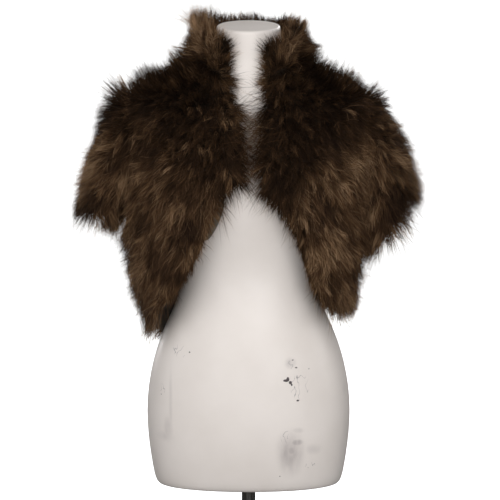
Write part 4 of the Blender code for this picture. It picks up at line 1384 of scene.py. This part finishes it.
def scatter(name, count, rng, inside=False):
    """Roots spread evenly over a panel's cloth, each with what its point of the grid says."""
    layers, closed = LAYERS[name], CLOSED[name]
    widths = [layer.shape[-1] for layer in layers.values()]
    stack = np.concatenate(list(layers.values()), -1).reshape(-1, sum(widths))
    quads = quads_of(layers["root"].shape, closed)
    a, b, c, d = (stack[quads[:, k], :3] for k in range(4))
    size = np.linalg.norm(np.cross(c - a, d - b), axis=-1)
    chosen = quads[rng.choice(len(quads), count, p=size / size.sum())]
    u, v = rng.random((2, count, 1))
    corners = [stack[chosen[:, k]] for k in range(4)]
    low = corners[0] + (corners[1] - corners[0]) * u
    high = corners[3] + (corners[2] - corners[3]) * u
    found = np.split(low + (high - low) * v, np.cumsum(widths)[:-1], axis=1)
    roots = dict(zip(layers, found, strict=True))
    roots["normal"], roots["nap"] = unit(roots["normal"]), unit(roots["nap"])
    if inside:
        roots["normal"] = -roots["normal"]
        roots["depth"] = 0.002 + 0.009 * roots["row"]
        roots["standing"] = roots["standing"] * 0
    return roots


def paths(roots, length, rise_share, jitter, steps, rng):
    """Each hair's points from root to tip: it rises off the pelt, and bends over along the nap."""
    count = len(roots["root"])
    sideways = np.cross(roots["normal"], roots["nap"])
    nap = unit(roots["nap"] + jitter * rng.standard_normal((count, 1)) * sideways)
    length = length * (1 + LONGER * np.clip(roots["overhang"] / EDGE_OVERHANG - 1, 0, 1.5))
    rise = roots["depth"] * rise_share
    run = np.sqrt(np.maximum(length**2 - rise**2, (0.3 * roots["depth"]) ** 2)) * (1 - roots["standing"])
    run = np.minimum(run, roots["far"] + roots["overhang"] * rng.uniform(0.55, 1.30, (count, 1)))
    share = np.linspace(0, 1, steps + 1)
    up = 1 - (1 - share) ** 1.6
    on = share**1.4
    start = roots["root"] + roots["normal"] * PELT_THICKNESS * 0.5
    made = [start + roots["normal"] * rise * u + nap * run * o for u, o in zip(up, on, strict=True)]
    return np.stack(made, 1)


# %% Ribbons
RIBBON_TURN = 0.9
RIBBON_TAPER = 2.2
UV_HALF_WIDTH = 0.006


def kept_near(made):
    """The paths, held back softly where they would leave the solids' box by more than a margin."""
    over = np.maximum(made - BOX_HIGH, 0)
    under = np.maximum(BOX_LOW - made, 0)
    held_over = BOX_MARGIN * (1 - np.exp(-over / BOX_MARGIN))
    held_under = BOX_MARGIN * (1 - np.exp(-under / BOX_MARGIN))
    return made - over + held_over + under - held_under


def ribbons(made, normals, half, tones, rng):
    """Flat tapered strips along the paths: points, triangles and UV places."""
    made = kept_near(made)
    count, joints = made.shape[:2]
    steps = joints - 1
    way = unit(made[:, -1] - made[:, 0])
    side = unit(np.cross(way, normals))
    turn = rng.uniform(-RIBBON_TURN, RIBBON_TURN, (count, 1))
    side = (side * np.cos(turn) + np.cross(way, side) * np.sin(turn)) * half
    share = np.linspace(0, 1, joints)
    points = []
    places = []
    for k in range(steps):
        for sign in (-1.0, 1.0):
            points.append(made[:, k] + sign * side * (1 - share[k] ** RIBBON_TAPER))
            places.append(np.stack((tones + sign * UV_HALF_WIDTH, np.full(count, share[k])), -1))
    points.append(made[:, -1])
    places.append(np.stack((tones, np.full(count, 1.0)), -1))
    corners = []
    for k in range(steps - 1):
        low = 2 * k
        corners += [(low, low + 1, low + 3), (low, low + 3, low + 2)]
    corners.append((2 * steps - 2, 2 * steps - 1, 2 * steps))
    each = 2 * steps + 1
    triangles = np.array(corners)[None] + each * np.arange(count)[:, None, None]
    points, places = np.stack(points, 1).reshape(-1, 3), np.stack(places, 1).reshape(-1, 2)
    return points, triangles.reshape(-1, 3), places


# %% Locks and coats
def make_locks(name, rng, inside=False):
    """The paths that locks of hair follow, one for each small patch of the pelt."""
    _, _, area = flat_measures(CLOTH[name], CLOSED[name])
    count = int(LOCKS_PER_PATCH * area / LOCK_SPACING**2)
    roots = scatter(name, count, rng, inside)
    length = rng.uniform(*LOCK_LENGTH, (count, 1))
    rise = rng.uniform(*LOCK_RISE, (count, 1))
    rise = np.where(rng.random((count, 1)) < RAISED_SHARE, rng.uniform(*RAISED_RISE, (count, 1)), rise)
    made = paths(roots, length, rise, LOCK_JITTER, STEPS["guard"], rng)
    tones = LOCK_TONE * rng.standard_normal(count)
    finder = kdtree.KDTree(count)
    for k, root in enumerate(roots["root"]):
        finder.insert(root, k)
    finder.balance()
    return made, tones, finder


def pulled(made, goals, strength):
    """Paths pulled towards their locks', which first shrink to the hair's own length."""
    own = np.linalg.norm(made[:, -1:] - made[:, :1], axis=-1, keepdims=True)
    lock = np.linalg.norm(goals[:, -1:] - goals[:, :1], axis=-1, keepdims=True)
    goals = goals[:, :1] + (goals - goals[:, :1]) * np.minimum(1.0, own / lock)
    return made + (goals - made) * strength


def coat(name, kind, count, rng, locks, inside=False):
    """One coat of hairs on a panel, pulled into the locks."""
    facts, steps = COATS[kind], STEPS[kind]
    roots = scatter(name, count, rng, inside)
    length = rng.uniform(*facts["length"], (count, 1))
    rise = rng.uniform(*facts["rise"], (count, 1))
    stray = rng.random((count, 1)) < (STRAY_SHARE if kind == "guard" else 0.0)
    rise = np.where(stray, rng.uniform(*STRAY_RISE, (count, 1)), rise)
    jitter = np.where(stray, 2.5 * LEAN_JITTER, LEAN_JITTER)
    made = paths(roots, np.where(stray, length * 1.05, length), rise, jitter, steps, rng)
    lock_paths, lock_tones, finder = locks
    nearest = np.array([finder.find(root)[1] for root in roots["root"]])
    at = np.linspace(0, STEPS["guard"], steps + 1)
    goals = read_axis(lock_paths, at, 1)[nearest]
    share = np.linspace(0, 1, steps + 1)[None, :, None]
    pull = np.minimum(PULL[kind] * rng.uniform(0.5, 1.3, (count, 1, 1)), 0.95) * share**1.3
    made = pulled(made, goals, np.where(stray[..., None], 0.0, pull))
    made = made + FRIZZ * share * rng.standard_normal(made.shape)
    tones = roots["tone"][:, 0] + facts["tone"] + lock_tones[nearest]
    tones = tones + HAIR_TONE * rng.standard_normal(count) + STRAY_TONE * stray[:, 0]
    half = np.where(stray, STRAY_HALF, facts["half"])
    return ribbons(made, roots["normal"], half, np.clip(tones, 0.02, 0.98), rng)


# %% Fringe
FRINGE_DENSITY = 2200.0
FRINGE_FAN = (-0.15, 1.25)
FRINGE_SWAY = 0.45
FRINGE_REACH = (0.35, 1.25)
FRINGE_DROOP = np.array((0.0, 0.0, -0.10))
FRINGE_TONE = 0.30
FRINGE_HALF = STRAY_HALF * 1.2


def fringe(name, density, rng):
    """Hairs rooted on the free edges, fanning from the edge's outside over to its underside."""
    parts = []
    for line, normal, over, depth in EDGES[name]:
        waves = drift(line, EDGE_WAVE_SIZE, "edge")
        zone = zone_sum(line, OVERHANG_ZONES)
        crowd = np.clip(0.5 + 0.9 * waves[:, 1], 0.06, 1.0) * np.clip(1 + 1.2 * zone, 0.4, 4.0)
        count = int(density * crowd.sum() * EDGE_SPACING)
        at = np.interp(rng.random(count), np.cumsum(crowd) / crowd.sum(), np.arange(len(line)))
        tufts = 1 + EDGE_WAVE * waves[:, :1]
        extra = tufts * np.minimum(1 + zone, 2.3)[:, None]
        stack = np.hstack((line, normal, over, depth[:, None], tones_at(line)[:, None], extra))
        found = np.split(along(stack, at), (3, 6, 9, 10, 11), axis=1)
        root, normal_at, over_at, depth_at, tone, extra = found
        normal_at, over_at = unit(normal_at), unit(over_at)
        along_edge = np.cross(normal_at, over_at)
        fan = rng.uniform(*FRINGE_FAN, (count, 1))
        way = over_at * np.cos(fan) + normal_at * np.sin(fan)
        lean = FRINGE_SWAY * np.interp(at, np.arange(len(line)), waves[:, 2])[:, None]
        way = unit(way + along_edge * lean)
        fall = np.array((0.0, 0.0, EDGE_FALL[name]))
        way = unit(way + along_edge * rng.normal(0, FRINGE_SWAY, (count, 1)) + fall)
        reach = EDGE_OVERHANG * np.cos(fan) + np.maximum(depth_at, 0.012) * np.sin(np.maximum(fan, 0))
        reach = reach * np.maximum(extra, 0.20) * rng.uniform(*FRINGE_REACH, (count, 1))
        share = np.linspace(0, 1, 4)[None, :, None]
        start = root - over_at * rng.uniform(0, 0.005, (count, 1)) + normal_at * 0.0006
        made = start[:, None] + (way * reach)[:, None] * share + FRINGE_DROOP * reach[:, None] * share**2
        made = made + FRIZZ * share * rng.standard_normal(made.shape)
        tones = np.clip(tone[:, 0] + FRINGE_TONE + 0.12 * rng.standard_normal(count), 0.02, 0.98)
        parts.append(ribbons(made, unit(normal_at + 0.3 * over_at), FRINGE_HALF, tones, rng))
    return parts


# %% Hair meshes
def hair_piece(name, parts):
    """One piece from several sets of ribbons."""
    starts = np.cumsum([0] + [len(points) for points, _, _ in parts])
    points = np.concatenate([p for p, _, _ in parts])
    triangles = np.concatenate([t + s for (_, t, _), s in zip(parts, starts[:-1], strict=True)])
    places = np.concatenate([u for _, _, u in parts])
    mesh = bpy.data.meshes.new(name)
    mesh.vertices.add(len(points))
    mesh.vertices.foreach_set("co", points.astype(np.float32).ravel())
    mesh.loops.add(3 * len(triangles))
    mesh.loops.foreach_set("vertex_index", triangles.astype(np.int32).ravel())
    mesh.polygons.add(len(triangles))
    mesh.polygons.foreach_set("loop_start", np.arange(0, 3 * len(triangles), 3, dtype=np.int32))
    mesh.update(calc_edges=True)
    hair_uv = mesh.uv_layers.new(name=FUR_UV)
    hair_uv.data.foreach_set("uv", places[triangles.ravel()].astype(np.float32).ravel())
    mesh.materials.append(fur_finish)
    mesh.shade_smooth()
    piece = bpy.data.objects.new(name, mesh)
    bpy.context.scene.collection.objects.link(piece)
    return piece


# Panel: guard hairs, undercoat hairs, seed
GROWTH = {
    "back": (27500, 14000, 1),
    "left_front": (28500, 13500, 2),
    "right_front": (28500, 13500, 3),
    "left_sleeve": (18000, 8500, 4),
    "right_sleeve": (19000, 9000, 5),
    "collar": (15500, 7000, 6),
}
COLLAR_INSIDE = (4500, 3000)

for name, (guards, unders, seed) in GROWTH.items():
    rng = np.random.default_rng(seed)
    locks = make_locks(name, rng)
    parts = [coat(name, "guard", guards, rng, locks), coat(name, "under", unders, rng, locks)]
    parts += fringe(name, FRINGE_DENSITY, rng)
    if name == "collar":
        inner_locks = make_locks(name, rng, inside=True)
        parts.append(coat(name, "guard", COLLAR_INSIDE[0], rng, inner_locks, inside=True))
        parts.append(coat(name, "under", COLLAR_INSIDE[1], rng, inner_locks, inside=True))
    fur = hair_piece(name + "_fur", parts)
    finish_piece(fur, [name])

# %% [markdown]
# ## The studio
#
# The photograph was taken against a white sweep in soft light from the front and above. The floor
# here is a wide pale disc whose rim curves up into a wall. Near the torso it is a plain matt floor
# that takes a soft shadow, and further off it glows up to white, as a lit sweep does.

# %% Sweep
SWEEP_FLAT_RADIUS = 6.5
SWEEP_RADIUS = 9.0
SWEEP_WALL = 6.0
SWEEP_DROP = 0.0002
SWEEP_BENDS = 8
# Distance where the glow starts, where it is full, and its strength there
GLOW = (0.05, 0.80, 1.1)

bpy.ops.object.select_all(action="DESELECT")
bpy.ops.mesh.primitive_circle_add(
    vertices=96, radius=SWEEP_FLAT_RADIUS, fill_type="NGON", location=(0, 0, -SWEEP_DROP)
)
sweep = bpy.context.object
sweep.name = sweep.data.name = "studio_sweep"
placed(sweep)
edit(sweep, lambda face: True)
radius, height = SWEEP_FLAT_RADIUS, -SWEEP_DROP
for step in range(1, SWEEP_BENDS + 1):
    angle = math.pi / 2 * step / SWEEP_BENDS
    new_radius = SWEEP_FLAT_RADIUS + (SWEEP_RADIUS - SWEEP_FLAT_RADIUS) * math.sin(angle)
    new_height = (SWEEP_RADIUS - SWEEP_FLAT_RADIUS) * (1 - math.cos(angle)) - SWEEP_DROP
    if step == 1:
        bpy.ops.mesh.select_mode(type="EDGE")
        bpy.ops.mesh.select_all(action="SELECT")
        bpy.ops.mesh.region_to_loop()
    bpy.ops.mesh.extrude_edges_move(TRANSFORM_OT_translate={"value": (0, 0, new_height - height)})
    grow = new_radius / radius
    bpy.ops.transform.resize(value=(grow, grow, 1.0), center_override=(0, 0, 0))
    radius, height = new_radius, new_height
bpy.ops.mesh.extrude_edges_move(TRANSFORM_OT_translate={"value": (0, 0, SWEEP_WALL - height)})
bpy.ops.mesh.select_all(action="SELECT")
bpy.ops.mesh.normals_make_consistent(inside=True)
close_edit()
pick_only(sweep)
bpy.ops.object.shade_smooth()

sweep_finish, sweep_shader = new_finish("sweep_paper", 0.9, specular=0.1)
sweep_shader.inputs["Base Color"].default_value = (0.80, 0.80, 0.80, 1.0)
floor_place = add(sweep_finish, "ShaderNodeTexCoord")
floor_size = add(sweep_finish, "ShaderNodeVectorMath", operation="LENGTH")
join(sweep_finish, floor_place.outputs["Object"], floor_size.inputs[0])
glow = add(sweep_finish, "ShaderNodeMapRange", interpolation_type="SMOOTHSTEP")
glow.inputs["From Min"].default_value = GLOW[0]
glow.inputs["From Max"].default_value = GLOW[1]
glow.inputs["To Max"].default_value = GLOW[2]
join(sweep_finish, floor_size.outputs["Value"], glow.inputs["Value"])
sweep_shader.inputs["Emission Color"].default_value = (1.0, 1.0, 1.0, 1.0)
join(sweep_finish, glow.outputs[0], sweep_shader.inputs["Emission Strength"])
sweep.data.materials.append(sweep_finish)
sweep.visible_diffuse = False
sweep.visible_glossy = False
sweep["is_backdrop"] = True
print("sweep", round(SWEEP_RADIUS * 2, 1), "m wide")

# %% [markdown]
# ## Light
#
# The torso is brightest where it faces forwards, and turns grey towards its sides and its foot. So
# the main light is a large softbox in front of the torso and above it. Two weaker ones stand lower,
# left and right of the camera, and light the torso under the fur's edges. One overhead gives the
# shoulders their rim, two far out at the sides reach round the sleeves, and two behind keep the
# back clear to see in other views.

# %% Lights
WORLD_STRENGTH = 0.17
# Place, what it points at, size in metres, power in watts
SOFTBOXES = (
    ("upper_front_softbox", (-0.08, -1.34, 1.50), (0.0, 0.0, 0.60), 1.0, 12.4),
    ("lower_left_softbox", (-0.42, -1.42, 0.46), (0.0, 0.0, 0.60), 0.8, 4.2),
    ("lower_right_softbox", (0.42, -1.44, 0.56), (0.0, 0.0, 0.60), 0.8, 5.8),
    ("top_softbox", (0.0, 0.15, 2.60), (0.0, 0.0, 0.90), 0.9, 4.6),
    ("left_softbox", (-3.45, -0.93, 1.04), (0.0, 0.0, 0.60), 1.5, 13.0),
    ("right_softbox", (3.45, -0.60, 1.04), (0.0, 0.0, 0.60), 1.5, 16.0),
    ("right_back_softbox", (1.3, 2.9, 1.9), (0.0, 0.0, 0.65), 1.5, 48.0),
    ("left_back_softbox", (-1.9, 2.5, 1.3), (0.0, 0.0, 0.65), 1.5, 40.0),
)
for label, place, aim, size, power in SOFTBOXES:
    bpy.ops.object.light_add(type="AREA", location=place)
    lamp = bpy.context.object
    lamp.name = lamp.data.name = label
    lamp.data.size = size
    lamp.data.energy = power
    lamp.rotation_mode = "QUATERNION"
    lamp.rotation_quaternion = (Vector(aim) - Vector(place)).to_track_quat("-Z", "Y")
    lamp.visible_camera = False
world = bpy.data.worlds.new("studio")
world.use_nodes = True
world.node_tree.nodes["Background"].inputs["Color"].default_value = (1.0, 1.0, 1.0, 1.0)
world.node_tree.nodes["Background"].inputs["Strength"].default_value = WORLD_STRENGTH
bpy.context.scene.world = world
bpy.context.scene.view_settings.view_transform = "Standard"
print(len(SOFTBOXES), "softboxes")

# %% [markdown]
# ## Sizes and finish
#
# The dressed model should stay as big as the solids. Both boxes are measured, and how far the
# dressed model passes the solids' high corner is printed.

looks_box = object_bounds()
sizes = {"cad": [list(map(float, corner)) for corner in solid_box]}
sizes["visual"] = [list(map(float, corner)) for corner in looks_box]
grown = [round(1000 * (b - a), 1) for a, b in zip(sizes["cad"][1], sizes["visual"][1], strict=True)]
print("visual box passes the solids' high corner by", grown, "mm")
